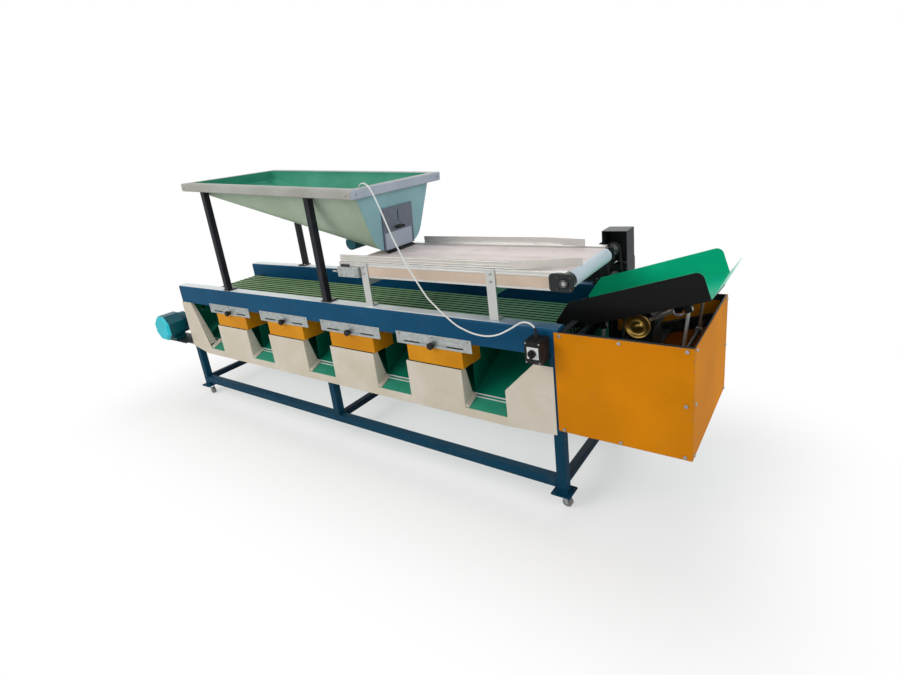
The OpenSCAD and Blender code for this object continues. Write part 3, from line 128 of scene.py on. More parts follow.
class Wire:
    """One output of a finish's nodes, with arithmetic on its values."""

    def __init__(self, finish, socket):
        self.finish = finish
        self.socket = socket

    def sum(self, operation, *values):
        return self.finish.node("Math", {"operation": operation}, dict(enumerate(values)))

    def __add__(self, other):
        return self.sum("ADD", self, other)

    def __radd__(self, other):
        return self.sum("ADD", other, self)

    def __sub__(self, other):
        return self.sum("SUBTRACT", self, other)

    def __rsub__(self, other):
        return self.sum("SUBTRACT", other, self)

    def __mul__(self, other):
        return self.sum("MULTIPLY", self, other)

    def __rmul__(self, other):
        return self.sum("MULTIPLY", other, self)

    def __truediv__(self, other):
        return self.sum("DIVIDE", self, other)

    def __gt__(self, other):
        return self.sum("GREATER_THAN", self, other)

    def __lt__(self, other):
        return self.sum("LESS_THAN", self, other)

    def __abs__(self):
        return self.sum("ABSOLUTE", self)

    def low(self, other):
        return self.sum("MINIMUM", self, other)

    def high(self, other):
        return self.sum("MAXIMUM", self, other)

    def part(self):
        return self.sum("FRACT", self)

    def sine(self):
        return self.sum("SINE", self)

    def between(self, lo, hi):
        """0 at lo and 1 at hi, with soft ends."""
        return self.finish.node(
            "MapRange", {"interpolation_type": "SMOOTHSTEP"}, {0: self, 1: lo, 2: hi, 3: 0.0, 4: 1.0}
        )


class Finish:
    """A procedural material."""

    def __init__(self, name, **constants):
        self.material = bpy.data.materials.new(name)
        self.material.use_nodes = True
        self.tree = self.material.node_tree
        self.shader = self.tree.nodes["Principled BSDF"]
        self.set(**{k.replace("_", " ").title().replace("Ior", "IOR"): v for k, v in constants.items()})

    def node(self, kind, settings=(), sockets=(), out=0):
        made = self.tree.nodes.new("ShaderNode" + kind)
        for key, value in dict(settings).items():
            setattr(made, key, value)
        self.join(made, sockets)
        return Wire(self, made.outputs[out])

    def join(self, made, sockets):
        for key, value in dict(sockets).items():
            if isinstance(value, Wire):
                self.tree.links.new(value.socket, made.inputs[key])
            else:
                made.inputs[key].default_value = value

    def set(self, **sockets):
        self.join(self.shader, sockets)
        return self

    def place(self, stretch=(1, 1, 1)):
        spot = self.node("TexCoord", out="Object")
        return self.node("Mapping", {}, {"Vector": spot, "Scale": stretch})

    def xyz(self):
        spot = self.place()
        return [self.node("SeparateXYZ", {}, {0: spot}, i) for i in range(3)]

    def noise(self, scale, detail=4.0, rough=0.55, stretch=(1, 1, 1)):
        return self.node(
            "TexNoise", {},
            {"Vector": self.place(stretch), "Scale": scale, "Detail": detail, "Roughness": rough},
        )

    def cells(self, scale):
        return self.node("TexVoronoi", {}, {"Vector": self.place(), "Scale": scale}, "Color")

    def mix(self, share, a, b):
        return self.node("Mix", {"data_type": "RGBA"}, {0: share, 6: a, 7: b}, 2)

    def bump(self, height, depth, strength):
        normal = self.node("Bump", {}, {"Height": height, "Distance": depth, "Strength": strength})
        return self.set(Normal=normal)


def shade(colour, by):
    return [min(1, v * by) for v in colour[:3]] + [1]


def painted(name, colour, rough=0.34, coat=0.1, dust=0.12, chips=0.0, box=None, sheen=0.22):
    """Sprayed paint: uneven film, fine orange peel, dust, and chips along the edges of a box."""
    f = Finish(name, coat_weight=coat, coat_roughness=0.12, specular_ior_level=sheen)
    cloud = f.noise(2.6, 5)
    grime = f.noise(11, 9, 0.68).between(0.5, 0.78)
    base = f.mix(cloud.between(0.3, 0.7), shade(colour, 0.9), shade(colour, 1.1))
    base = f.mix(grime * dust, base, rgb(150, 146, 136))
    gloss = rough + 0.08 * cloud + 0.22 * grime * (dust + 0.2)
    if chips:
        x, y, z = f.xyz()
        gaps = [(v - lo).low(hi - v) for v, lo, hi in zip((x, y, z), *box)]
        most = gaps[0].high(gaps[1]).high(gaps[2])
        least = gaps[0].low(gaps[1]).low(gaps[2])
        edge = gaps[0] + gaps[1] + gaps[2] - most - least
        speck = f.noise(95, 9, 0.72)
        worn = (1 - edge.between(0.0005, 0.007)) * speck.between(0.56 - 0.14 * chips, 0.66)
        base = f.mix(worn, base, rgb(112, 104, 96))
        gloss = gloss + 0.2 * worn
    f.set(**{"Base Color": base, "Roughness": gloss})
    return f.bump(f.noise(420, 3) * 0.5 + cloud, 0.0006, 0.25)


def metal(name, colour, rough=0.32, grain=(3, 260, 260), spangle=0.0, stain=0.2):
    """Bare metal: brushed along the short number of its grain, or with the cells of hot zinc."""
    f = Finish(name, metallic=1.0)
    lines = f.noise(1, 6, 0.6, grain)
    spots = f.noise(14, 8, 0.65).between(0.45, 0.8)
    base = f.mix(lines, shade(colour, 0.86), shade(colour, 1.1))
    gloss = rough + 0.16 * lines + 0.2 * spots * stain
    if spangle:
        cell = f.node("SeparateColor", {}, {0: f.cells(70)}, 0)
        base = f.mix(cell * spangle, base, shade(colour, 0.66))
        gloss = gloss + 0.14 * cell * spangle
    base = f.mix(spots * stain, base, shade(colour, 0.5))
    f.set(**{"Base Color": base, "Roughness": gloss})
    return f.bump(lines, 0.0002, 0.3)


def moulded(name, colour, tint, rough=0.42, coat=0.06, dirt=0.16):
    """Moulded sheet: cloudy colour, faint ripples and dirt in the low places."""
    f = Finish(name, coat_weight=coat, coat_roughness=0.2, specular_ior_level=0.25)
    cloud = f.noise(3.2, 4)
    soil = f.noise(9, 9, 0.7).between(0.52, 0.8)
    base = f.mix(cloud.between(0.35, 0.68), colour, tint)
    base = f.mix(soil * dirt, base, rgb(118, 108, 92))
    f.set(**{"Base Color": base, "Roughness": rough + 0.14 * cloud + 0.15 * soil})
    return f.bump(f.noise(38, 3) + 0.12 * f.noise(700, 2), 0.0011, 0.22)


def plastic(name, colour, rough=0.45, grain=900, dust=0.15):
    """Plastic or rubber with a fine eroded grain and dust."""
    f = Finish(name, specular_ior_level=0.2)
    pores = f.noise(grain, 2, 0.5)
    haze = f.noise(24, 7, 0.66).between(0.45, 0.8)
    base = f.mix(haze * dust, f.mix(pores, shade(colour, 0.85), shade(colour, 1.15)), rgb(158, 154, 146))
    f.set(**{"Base Color": base, "Roughness": rough + 0.12 * pores + 0.2 * haze})
    return f.bump(pores, 0.0003, 0.35)


def grading_rubber():
    """Belts that fan out: grip ribs follow each belt; painted shade darkens each belt's edges, its right end
    under the conveyor and its lower run.
    """
    f = Finish("green_belt_rubber", specular_ior_level=0.1)
    x, y, z = f.xyz()
    pitch = WIDE_PITCH - (WIDE_PITCH - NARROW_PITCH) * (x - BED_X) / BED_LENGTH
    lane = (y - BED_Y) / pitch
    aside = abs(lane.part() - 0.5) * pitch
    tone = f.node("TexWhiteNoise", {"noise_dimensions": "1D"}, {"W": lane.sum("FLOOR", lane)})
    streak = f.noise(1, 7, 0.65, (2.2, 160, 1))
    edge = aside.between(0.006, 0.0122)
    base = f.mix(streak.between(0.3, 0.72), rgb(114, 154, 104), rgb(166, 194, 148))
    base = f.mix(0.35 * tone, base, rgb(84, 130, 86))
    # painted shadow of the conveyor: the belts darken towards the right end
    base = f.mix(0.7 * x.between(-0.6, 1.2), base, rgb(44, 128, 100))
    # painted shade: the outer half of each belt is darkened beside the gaps between the belts
    base = f.mix(0.9 * edge, base, rgb(16, 38, 24))
    # painted shade: the lower run, under the upper one, is darkened
    base = f.mix(z < 0.8, base, rgb(16, 30, 22))
    f.set(**{"Base Color": base, "Roughness": 0.55 + 0.2 * streak})
    return f.bump((x * 900).sine() * 0.5 + f.noise(500, 2), 0.0004, 0.4)


def carrying_cloth():
    """Conveyor belt: pale coated cloth with a weave, rub marks and a soiled middle, and painted bluish sky
    light where it wraps the nose.
    """
    f = Finish("white_belt_cloth")
    x, y, z = f.xyz()
    rub = f.noise(1, 8, 0.68, (1.6, 26, 8))
    soil = f.noise(6, 8, 0.7).between(0.46, 0.78)
    base = f.mix(rub.between(0.32, 0.7), rgb(226, 214, 212), rgb(208, 196, 194))
    base = f.mix(0.4 * soil, base, rgb(176, 160, 152))
    # painted light: a bluish tint of sky light where the belt wraps the nose roller
    base = f.mix(0.8 * x.between(1.475, 1.495), base, rgb(200, 220, 230))
    f.set(**{"Base Color": base, "Roughness": 0.5 + 0.2 * rub})
    weave = (x * 3600).sine() * (y * 3600).sine()
    return f.bump(weave + rub, 0.0003, 0.4)


def trough_paint():
    """Green inside, black on the outer face of the near wall and underneath."""
    f = Finish("trough_paint", specular_ior_level=0.12)
    x, y, z = f.xyz()
    near_wall, lip_x, slope, lip_z = -0.1589, 1.3737, 0.31147, 0.8612
    outside = y < near_wall
    under = (z - (x - lip_x) * slope) < lip_z
    cloud = f.noise(3, 6)
    scuff = f.noise(1, 8, 0.7, (7, 30, 7)).between(0.55, 0.8)
    green = f.mix(cloud.between(0.3, 0.7), rgb(4, 178, 134), rgb(22, 200, 156))
    green = f.mix(0.25 * scuff, green, rgb(120, 180, 158))
    green = f.mix(0.92 * x.between(2.015, 2.035), green, rgb(206, 248, 238))
    black = f.mix(cloud, rgb(11, 12, 13), rgb(21, 22, 23))
    base = f.mix(outside.high(under), green, black)
    f.set(**{"Base Color": base, "Roughness": 0.34 + 0.2 * scuff})
    return f.bump(f.noise(300, 3) + cloud, 0.0006, 0.25)


def rail_top_sky_reflection():
    """Top of the rails: painted sky reflection in near white, the blue paint still showing towards the
    trough.
    """
    f = Finish("rubbed_rail_top", metallic=0.25)
    x, y, z = f.xyz()
    lines = f.noise(1, 6, 0.6, (2, 120, 120))
    blue_share = (x + 0.25 * f.noise(4, 5)).between(0.95, 1.5)
    # painted reflection: the sky's near-white reflection on the glossy top is put into the base colour
    painted_reflection = f.mix(lines, rgb(206, 214, 218), rgb(234, 240, 242))
    f.set(**{"Base Color": f.mix(blue_share, painted_reflection, rgb(58, 104, 136)), "Roughness": 0.3 + 0.16 * lines})
    return f.bump(lines, 0.0002, 0.3)


def divider_paint():
    """Yellow front box of a divider, dark green where it reaches back over the chute."""
    f = Finish("yellow_divider_paint", specular_ior_level=0.1)
    x, y, z = f.xyz()
    box_foot, box_back, plate_foot, plate_back = 0.6555, -0.1675, 0.757, -0.3305
    box = (z > box_foot) * (y < box_back)
    behind_plate = (z > plate_foot) * (y < plate_back)
    cloud = f.noise(2.6, 5)
    scuff = f.noise(40, 8, 0.7).between(0.58, 0.8)
    front = f.mix(cloud.between(0.3, 0.7), rgb(200, 130, 14), rgb(216, 146, 26))
    front = f.mix(0.3 * scuff, front, rgb(150, 120, 70))
    front = f.mix(behind_plate, front, rgb(158, 164, 166))
    back = f.mix(cloud, rgb(4, 84, 66), rgb(6, 108, 84))
    f.set(**{"Base Color": f.mix(box, back, front), "Roughness": 0.42 + 0.12 * cloud})
    return f.bump(f.noise(420, 3) * 0.5 + cloud, 0.0006, 0.25)


def backdrop(colour):
    """Plain floor that keeps the shadow near the object and turns to white further off."""
    f = Finish("pale_floor", roughness=0.8)
    x, y, z = f.xyz()
    half_length, half_width = 1.9, 0.45
    aside = (abs(x) - half_length).high(0.0)
    ahead = (abs(y) - half_width).high(0.0)
    square = aside * aside + ahead * ahead
    off = square.sum("SQRT", square)
    seen = f.node("LightPath", out="Is Camera Ray")
    glow = f.node("Emission", {}, {"Color": (1, 1, 1, 1), "Strength": 1.0})
    lit = Wire(f, f.shader.outputs[0])
    both = f.node("MixShader", {}, {0: seen * (0.45 + 0.55 * off.between(0.0, 0.9)), 1: lit, 2: glow})
    f.join(f.tree.nodes["Material Output"], {"Surface": both})
    grain = f.noise(5, 3)
    return f.set(**{"Base Color": f.mix(grain, shade(colour, 0.985), colour)})


sky = world.node_tree
sky.nodes["Background"].inputs[0].default_value = (0.96, 0.98, 1, 1)
sky.nodes["Background"].inputs[1].default_value = 0.48
seen = sky.nodes.new("ShaderNodeBackground")
seen.inputs[0].default_value = (1, 1, 1, 1)
rays = sky.nodes.new("ShaderNodeLightPath")
plain = rays.outputs["Is Camera Ray"]
for ray in ("Is Glossy Ray", "Is Transmission Ray"):
    either = sky.nodes.new("ShaderNodeMath")
    either.operation = "MAXIMUM"
    sky.links.new(plain, either.inputs[0])
    sky.links.new(rays.outputs[ray], either.inputs[1])
    plain = either.outputs[0]
blend = sky.nodes.new("ShaderNodeMixShader")
sky.links.new(plain, blend.inputs[0])
sky.links.new(sky.nodes["Background"].outputs[0], blend.inputs[1])
sky.links.new(seen.outputs[0], blend.inputs[2])
sky.links.new(blend.outputs[0], sky.nodes["World Output"].inputs[0])

ops.mesh.primitive_plane_add(size=60, location=(0, 0, 0))
floor = bpy.context.object
floor.name = "studio_floor"
floor.data.materials.append(backdrop([0.94, 0.94, 0.94, 1]).material)

rail_box = (at(0, -380, 805), at(3180, 380, 940))
panel_box = (at(3161, -383, 433), at(3736, 317, 925))
blue = painted("blue_paint", rgb(8, 74, 110), 0.44, 0.0, 0.03, 0.4, rail_box, 0.1)
blue_tube = painted("blue_tube_paint", rgb(4, 58, 82), 0.48, 0.0, 0.05, sheen=0.1)
dark_blue = painted("cross_bar_paint", rgb(8, 34, 52), 0.48, 0.0, 0.05, sheen=0.1)
navy = painted("black_leg_paint", rgb(22, 24, 32), 0.36, 0.1, 0.06)
yellow = painted("yellow_panel_paint", rgb(212, 130, 6), 0.58, 0.0, 0.03, 0.6, panel_box, 0.06)
orange = divider_paint()
beige = painted("beige_panel_paint", rgb(206, 186, 168), 0.42, 0.05, 0.1)
dark = painted("dark_frame_paint", rgb(34, 40, 42), 0.42, 0.05, 0.12)
teal = painted("teal_motor_paint", rgb(0, 82, 94), 0.36, 0.1, 0.06)
# painted light: the cowl end is a lighter cyan copy of the motor's teal, where the sky light falls on it
cyan = painted("teal_cowl_paint", rgb(36, 196, 214), 0.36, 0.08, 0.03)
floor_green = painted("outlet_floor_paint", rgb(48, 150, 122), 0.38, 0.08, 0.1)
board_green = painted("chute_board_paint", rgb(6, 126, 100), 0.46, 0.0, 0.04, sheen=0.12)
trough_green = trough_paint()
cream = moulded("cream_moulding", rgb(204, 194, 176), rgb(214, 207, 194))
pale_green = moulded("hopper_moulding", rgb(152, 170, 148), rgb(166, 184, 164), 0.4, 0.08, 0.08)
# painted sky light: the hopper's outlet end is a bluish, lighter copy of its pale green
pale_cyan = moulded("hopper_end_moulding", rgb(136, 178, 184), rgb(148, 190, 194), 0.38, 0.08, 0.05)
inner_green = moulded("hopper_inside_moulding", rgb(48, 144, 118), rgb(66, 158, 132), 0.4, 0.08, 0.06)
rim_white = moulded("rim_moulding", rgb(154, 154, 148), rgb(168, 169, 166), 0.4, 0.05, 0.1)
gate_white = moulded("gate_sheet", rgb(170, 180, 194), rgb(182, 190, 202), 0.36, 0.1, 0.1)
belt_green = grading_rubber()
belt_white = carrying_cloth()
aluminium = metal("brushed_aluminium", rgb(206, 206, 204), 0.34)
upright = metal("upright_aluminium", rgb(200, 202, 200), 0.34, (260, 260, 3))
zinc = metal("hot_zinc", rgb(184, 190, 190), 0.36, (40, 40, 40), 0.6)
dull_zinc = metal("dull_zinc", rgb(122, 128, 140), 0.42, (40, 40, 40), 0.5)
rail_top = rail_top_sky_reflection()
skirt = moulded("guide_skirt", rgb(204, 198, 190), rgb(216, 212, 206), 0.4, 0.06, 0.14)
steel = metal("turned_steel", rgb(176, 176, 176), 0.26, (240, 5, 240), 0, 0.3)
gold_zinc = metal("yellow_zinc", rgb(206, 172, 96), 0.3, (60, 60, 60), 0.3)
chain_steel = metal("oiled_chain_steel", rgb(92, 90, 88), 0.38, (60, 60, 60), 0, 0.6)
wheel_grey = plastic("castor_tread", rgb(134, 132, 128), 0.5, 500)
black = plastic("black_plastic", rgb(20, 21, 23), 0.4)
rubber = plastic("black_rubber", rgb(18, 18, 18), 0.62, 600)
white = plastic("white_plastic", rgb(226, 228, 226), 0.4, 700, 0.08)


# how pieces are modelled


def alone(o):
    ops.object.select_all(action="DESELECT")
    o.select_set(True)
    bpy.context.view_layer.objects.active = o
    return o


def named(name):
    o = bpy.context.object
    o.name = name
    o.data.name = name
    return o


def settle(name):
    """The new primitive, with its place in its mesh."""
    ops.object.transform_apply(location=True, rotation=True, scale=True)
    return named(name)


def modify(o, kind, **settings):
    alone(o)
    ops.object.modifier_add(type=kind)
    made = o.modifiers[-1]
    for key, value in settings.items():
        setattr(made, key, value)
    ops.object.modifier_apply(modifier=made.name)
    return o


def smoothed(o, degrees=50):
    alone(o)
    ops.object.shade_smooth_by_angle(angle=math.radians(degrees))
    return o


def round_edges(o, width, segments=2):
    modify(
        o, "BEVEL", width=width * MM, segments=segments, limit_method="ANGLE",
        angle_limit=math.radians(35), use_clamp_overlap=False,
    )
    smoothed(o)
    return modify(o, "WEIGHTED_NORMAL", keep_sharp=True)


def block(name, lo, hi, width=0.0, segments=2):
    a, b = at(*lo), at(*hi)
    ops.object.select_all(action="DESELECT")
    ops.mesh.primitive_cube_add(size=1, location=(a + b) / 2, scale=b - a)
    o = settle(name)
    return round_edges(o, width, segments) if width else o


def rod(name, a, b, r, sides, width=0.0):
    p, q = at(*a), at(*b)
    turn = (q - p).to_track_quat("Z", "Y").to_euler()
    ops.object.select_all(action="DESELECT")
    ops.mesh.primitive_cone_add(
        vertices=sides, radius1=r * MM, radius2=r * MM,
        depth=(q - p).length, location=(p + q) / 2, rotation=turn,
    )
    o = settle(name)
    return round_edges(o, width) if width else o


def select(o, kind, parts, test):
    """Edit mode, with the parts of one kind selected that pass the test."""
    alone(o)
    ops.object.mode_set(mode="EDIT")
    ops.mesh.select_mode(type=kind)
    ops.mesh.select_all(action="DESELECT")
    ops.object.mode_set(mode="OBJECT")
    for part in parts:
        part.select = test(part)
    ops.object.mode_set(mode="EDIT")


def faces(o, test):
    """Select the faces whose middle and normal pass the test."""
    select(o, "FACE", o.data.polygons, lambda f: test(f.center, f.normal))


def edges(o, test):
    """Select the edges whose two ends pass the test."""
    spots = o.data.vertices
    select(o, "EDGE", o.data.edges, lambda e: test(*(spots[v].co for v in e.vertices)))


def corners(o, test):
    """Select the corners that pass the test."""
    select(o, "VERT", o.data.vertices, lambda v: test(v.co))


def object_mode():
    ops.object.mode_set(mode="OBJECT")


def shifted(o, moves):
    """Move the corners inside each box, given by two points and a shift in metres."""
    for lo, hi, shift in moves:
        corners(o, lambda v: all(a < q < b for a, q, b in zip(lo, v, hi)))
        ops.transform.translate(value=shift)
        object_mode()
    return o


def cut_out(o, cutters):
    """Take the cutters' shapes out of a piece."""
    for cutter in cutters:
        modify(o, "BOOLEAN", operation="DIFFERENCE", object=cutter, solver="EXACT")
        bpy.data.objects.remove(cutter)
    return o


def merged(name, pieces):
    ops.object.select_all(action="DESELECT")
    for o in pieces:
        o.select_set(True)
    bpy.context.view_layer.objects.active = pieces[0]
    ops.object.join()
    return named(name)


def copied(o, name, shift):
    """A copy with its own mesh, moved by millimetres."""
    alone(o)
    ops.object.duplicate()
    ops.transform.translate(value=Vector(shift) * MM)
    return settle(name)


def finish(o, body, look, slot, stands_for=()):
    o.data.materials.clear()
    o.data.materials.append(look.material)
    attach(o, body)
    if stands_for:
        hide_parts(*stands_for)
    return o


def also(o, look, test):
    """A further finish, on the faces whose middle and normal pass the test."""
    o.data.materials.append(look.material)
    last = len(o.data.materials) - 1
    for face in o.data.polygons:
        if test(face.center, face.normal):
            face.material_index = last


body_of = {n: b for b, nodes in frame["record"]["behaviour"]["bodies"].items() for n in nodes}
slot_of = {p["node"]: p["material_slot"] for p in frame["record"]["subparts"]}


def softened(node, width, look, segments=2):
    """A copy of a CAD node with its edges broken, as rolled, folded and cast pieces have."""
    source = frame["nodes"][node]
    alone(source)
    ops.object.duplicate()
    o = named(node + "_piece")
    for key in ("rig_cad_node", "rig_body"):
        del o[key]
    o.parent = None
    ops.object.mode_set(mode="EDIT")
    ops.mesh.select_all(action="SELECT")
    ops.mesh.remove_doubles(threshold=0.00001)
    ops.mesh.dissolve_limited(angle_limit=math.radians(1))
    object_mode()
    round_edges(o, width, segments)
    return finish(o, body_of[node], look, slot_of[node], (node,))


# mains cable: out of the gland, over the hopper rim, and coiled on the hopper floor

# the rim's tilt and the slope of the hopper floor below it
tilt = math.radians(4.08)
drop = math.atan2(330, 1518) - math.asin(20 / math.hypot(1518, 330))


def in_hopper(x, y, z):
    """A point of the hopper's own frame, in machine millimetres."""
    return Vector((
        1269 + x * math.cos(tilt) + z * math.sin(tilt),
        y,
        1645 - x * math.sin(tilt) + z * math.cos(tilt),
    ))


def on_floor(back, y, up):
    return in_hopper(
        764 - back * math.cos(drop) + up * math.sin(drop), y,
        -388 + back * math.sin(drop) + up * math.cos(drop),
    )


def eased(a, b, c, d, t):
    return (2 * b + (c - a) * t + (2 * a - 5 * b + 4 * c - d) * t * t + (3 * b - a - 3 * c + d) * t ** 3) / 2


ROUTE = [
    (3097, -425, 949), (3086, -426, 965), (3068, -427, 975), (3046, -427, 976), (3026, -427, 970),
    (3008, -427, 959), (2970, -426, 934), (2908, -424, 900), (2845, -422, 883), (2775, -420, 884),
    (2710, -418, 900), (2645, -416, 930), (2535, -412, 1016), (2485, -410, 1070), (2396, -404, 1202),
    (2356, -400, 1276), (2310, -388, 1350), (2250, -360, 1436), (2186, -328, 1520), (2134, -304, 1576),
    (2094, -290, 1603), (2058, -279, 1608), (2028, -270, 1599), (2007, -261, 1573), (1999, -248, 1530),
    (1988, -190, 1390), (1964, -144, 1326), (1922, -100, 1276), (1876, -66, 1253),
]
GLAND = Vector((3100, -425, 923))
COIL_BACK, COIL_R, COIL_PITCH, COIL_TURNS = 250, 52.8, 8.64, 4.5
COIL_STEPS, ROUTE_STEPS, TAIL = 48, 8, 8
LEAD_R, PLUG_LENGTH = 4, 80.3


def coil_point(turns):
    turn = math.radians(-90 - 360 * turns)
    r = COIL_R - COIL_PITCH * (COIL_TURNS / 2 - abs(turns - COIL_TURNS / 2))
    layer = max(0, min(1, 2 * (turns - COIL_TURNS / 2) + 0.5))
    return on_floor(COIL_BACK - r * math.cos(turn), r * math.sin(turn), 4.4 + layer * COIL_PITCH)


def coil_way():
    """Direction along the hopper floor from the coil to the outlet."""
    return (on_floor(0, 0, 0) - on_floor(COIL_BACK, 0, 0)).normalized()


def lead_points():
    """The whole lead: gland, route and coil."""
    tail = TAIL * coil_way()
    coil = [coil_point(i / COIL_STEPS) for i in range(round(COIL_STEPS * COIL_TURNS) + 1)]
    start = coil[0] + tail
    p = [GLAND + Vector((0, 0, TAIL))] + [Vector(q) for q in ROUTE] + [start + tail]
    last = len(p) - 1
    run = [
        eased(p[max(i - 1, 0)], p[i], p[i + 1], p[min(i + 2, last)], j / ROUTE_STEPS)
        for i in range(last) for j in range(ROUTE_STEPS)
    ]
    return [GLAND] + run + [start + tail, start] + coil + [coil[-1] + tail]


def cord_curve(name, points, r, radii=None):
    curve = bpy.data.curves.new(name, "CURVE")
    curve.dimensions = "3D"
    spline = curve.splines.new("POLY")
    spline.points.add(len(points) - 1)
    for i, (spot, p) in enumerate(zip(spline.points, points)):
        spot.co = (*at(*p), 1)
        spot.radius = radii[i] if radii else 1
    curve.bevel_depth = r * MM
    curve.bevel_resolution = 4
    curve.use_fill_caps = True
    o = bpy.data.objects.new(name, curve)
    bpy.context.scene.collection.objects.link(o)
    return o


def made_mesh(o):
    alone(o)
    ops.object.convert(target="MESH")
    return smoothed(o)


lead_path = lead_points()
lead = cord_curve("mains_lead", lead_path, LEAD_R)
finish(lead, "machine", white, "white_plastic", ("mains_cable", "cable_coil"))
plug = softened("mains_plug", 0.8, white)
plug_way = coil_way()
plug_face = (coil_point(COIL_TURNS) + PLUG_LENGTH * plug_way).dot(plug_way)
origin = Vector((ORIGIN_X, ORIGIN_Y, 0))
also(plug, steel, lambda c, n: (c / MM + origin).dot(plug_way) > plug_face)
lead_length = sum((b - a).length for a, b in zip(lead_path, lead_path[1:])) * MM
at(*GLAND)
ribs = [(1.0 - 0.035 * i) * (1 if i % 2 else 0.88) for i in range(13)]
relief = made_mesh(cord_curve("lead_strain_relief", lead_path[:13], 7.6, ribs))
finish(relief, "machine", black, "black_plastic")


def tie_point(out, up):
    """A point beside the coil's rolled turns, on the side away from the plug."""
    return on_floor(COIL_BACK + out, 0, up)


tie_arch = [(27, 1), (27, 12), (29, 18), (33, 19.5), (53, 19.5), (57, 18), (59, 12), (59, 1)]
tie = cord_curve("coil_tie", [tie_point(*q) for q in tie_arch], 1.2)
finish(made_mesh(tie), "machine", black, "black_plastic")

# frame

rails = softened("rails", 1.5, blue)
# the rails' top faces take the painted sky reflection
also(rails, rail_top, lambda c, n: n.z > 0.8 and c.z > at(0, 0, 936).z)
for node in ("legs", "lower_rails"):
    softened(node, 3, blue_tube)
softened("cross_bars", 3, dark_blue)
softened("hopper_legs", 3, navy)
softened("motor_bracket", 1.5, dark)


def rail_cap(name, x0, x1, y0):
    """Plastic cap in the end of a rail, with the rail's rounded shoulders."""
    o = block(name, (x0, y0 + 1, 806), (x1, y0 + 79, 939))
    top = at(0, 0, 939).z
    edges(o, lambda a, b: min(a.z, b.z) > top - 0.001 and abs(a.y - b.y) < 1e-5)
    ops.mesh.bevel(offset=0.017, segments=6)
    object_mode()
    round_edges(o, 1.2)
    return o


caps = [rail_cap("rail_cap_%d" % i, *q) for i, q in enumerate(
    [(-4, 0, -380), (-4, 0, 300), (3180, 3184, 300)])]
finish(merged("rail_end_caps", caps), "machine", black, "black_plastic")

# castors

for i in "1234":
    softened("castor_fork_" + i, 0.8, zinc)
    softened("castor_wheel_" + i, 2, wheel_grey)

# bed


def turned(o, name, middle, axis, degrees, shift):
    """A copy turned about a point, then moved by millimetres."""
    alone(o)
    ops.object.duplicate()
    ops.transform.rotate(value=math.radians(degrees), orient_axis=axis, center_override=at(*middle))
    ops.transform.translate(value=Vector(shift) * MM)
    return settle(name)


def around(o, middle, axis, count):
    """The piece repeated round an axis."""
    alone(o)
    ops.object.mode_set(mode="EDIT")
    ops.mesh.select_all(action="SELECT")
    ops.mesh.spin(
        steps=count - 1, dupli=True, angle=math.tau * (count - 1) / count, center=at(*middle), axis=axis
    )
    object_mode()
    return o


def grading_belt():
    """One belt on the middle line: a ring drawn out between the rollers, then thickened."""
    ops.object.select_all(action="DESELECT")
    ops.mesh.primitive_circle_add(
        vertices=48, radius=BELT_R, location=at(*on_axis(BED_ROLLER, -BELT_WIDTH / 2 / MM)),
        rotation=(math.radians(90), math.radians(3.75), 0),
    )
    o = settle("grading_belt")
    edges(o, lambda a, b: a.x > BED_X and b.x > BED_X)
    ops.transform.translate(value=(BED_LENGTH, 0, 0))
    ops.mesh.select_all(action="SELECT")
    ops.mesh.extrude_region_move(TRANSFORM_OT_translate={"value": (0, BELT_WIDTH, 0)})
    object_mode()
    modify(o, "SOLIDIFY", thickness=BELT_THICKNESS, offset=0)
    return round_edges(o, 1.2)


pattern = grading_belt()
belts = []
for i in range(BELT_COUNT):
    place = i - (BELT_COUNT - 1) / 2
    spread = math.degrees(math.atan2(place * (NARROW_PITCH - WIDE_PITCH), BED_LENGTH))
    aside = (0, place * WIDE_PITCH / MM, 0)
    belts.append(turned(pattern, "belt_%d" % i, on_axis(BED_ROLLER, 0), "Z", -spread, aside))
bpy.data.objects.remove(pattern)
finish(merged("grading_belt_set", belts), "machine", belt_green, "green_belt", ("grading_belts",))
softened("roller_bearings", 2, dark)
for node in ("bed_drive_roller", "bed_idler_roller", "bed_motor_sprocket"):
    softened(node, 0.6, steel)
softened("chute_board", 0.6, board_green)
softened("outlet_floor", 0.6, floor_green)

OUTLET_PITCH, OUTLETS = 615, 4
# moulded front, with the left cheek closed against it and tapered to its top
shifted(softened("front_panel", 1.3, cream), (
    (at(100, -379.9, 470), at(256, -378.2, 806), (0, -0.0014, 0)),
    (at(100, -303, 790), at(256, -299, 806), (0, -0.06, 0)),
    (at(100, -303, 470), at(256, -299, 500), (0, -0.03, 0)),
))
end_sheets = [
    block("chute_left_sheet", (24, -257, 486), (26, 329.5, 803), 0.5),
    block("chute_left_strip", (24, -329.5, 486), (26, -267, 803), 0.5),
    block("chute_left_low_fill", (24, -267.2, 486), (26, -256.8, 700)),
    block("chute_left_high_fill", (24, -267.2, 714.5), (26, -256.8, 795.5)),
    block("chute_right_sheet", (3152, -329.5, 440), (3154, 329.5, 803), 0.5),
]
finish(merged("chute_end_sheets", end_sheets), "machine", board_green, "dark_green_paint")


def cheek_foot():
    """Pale foot of an outlet's side wall: a wedge that follows the slope of the floor."""
    o = block("cheek_foot", (793.4, -379, 441), (815, -298, 464))
    faces(o, lambda c, n: n.y > 0.9)
    ops.transform.translate(value=(0, 0, 0.0325))
    object_mode()
    side, front, high = at(810, -379, 455)
    corners(o, lambda v: v.x > side and v.z - 0.4 * (v.y - front) > high)
    ops.transform.translate(value=(0, 0, -0.019))
    object_mode()
    return round_edges(o, 2)


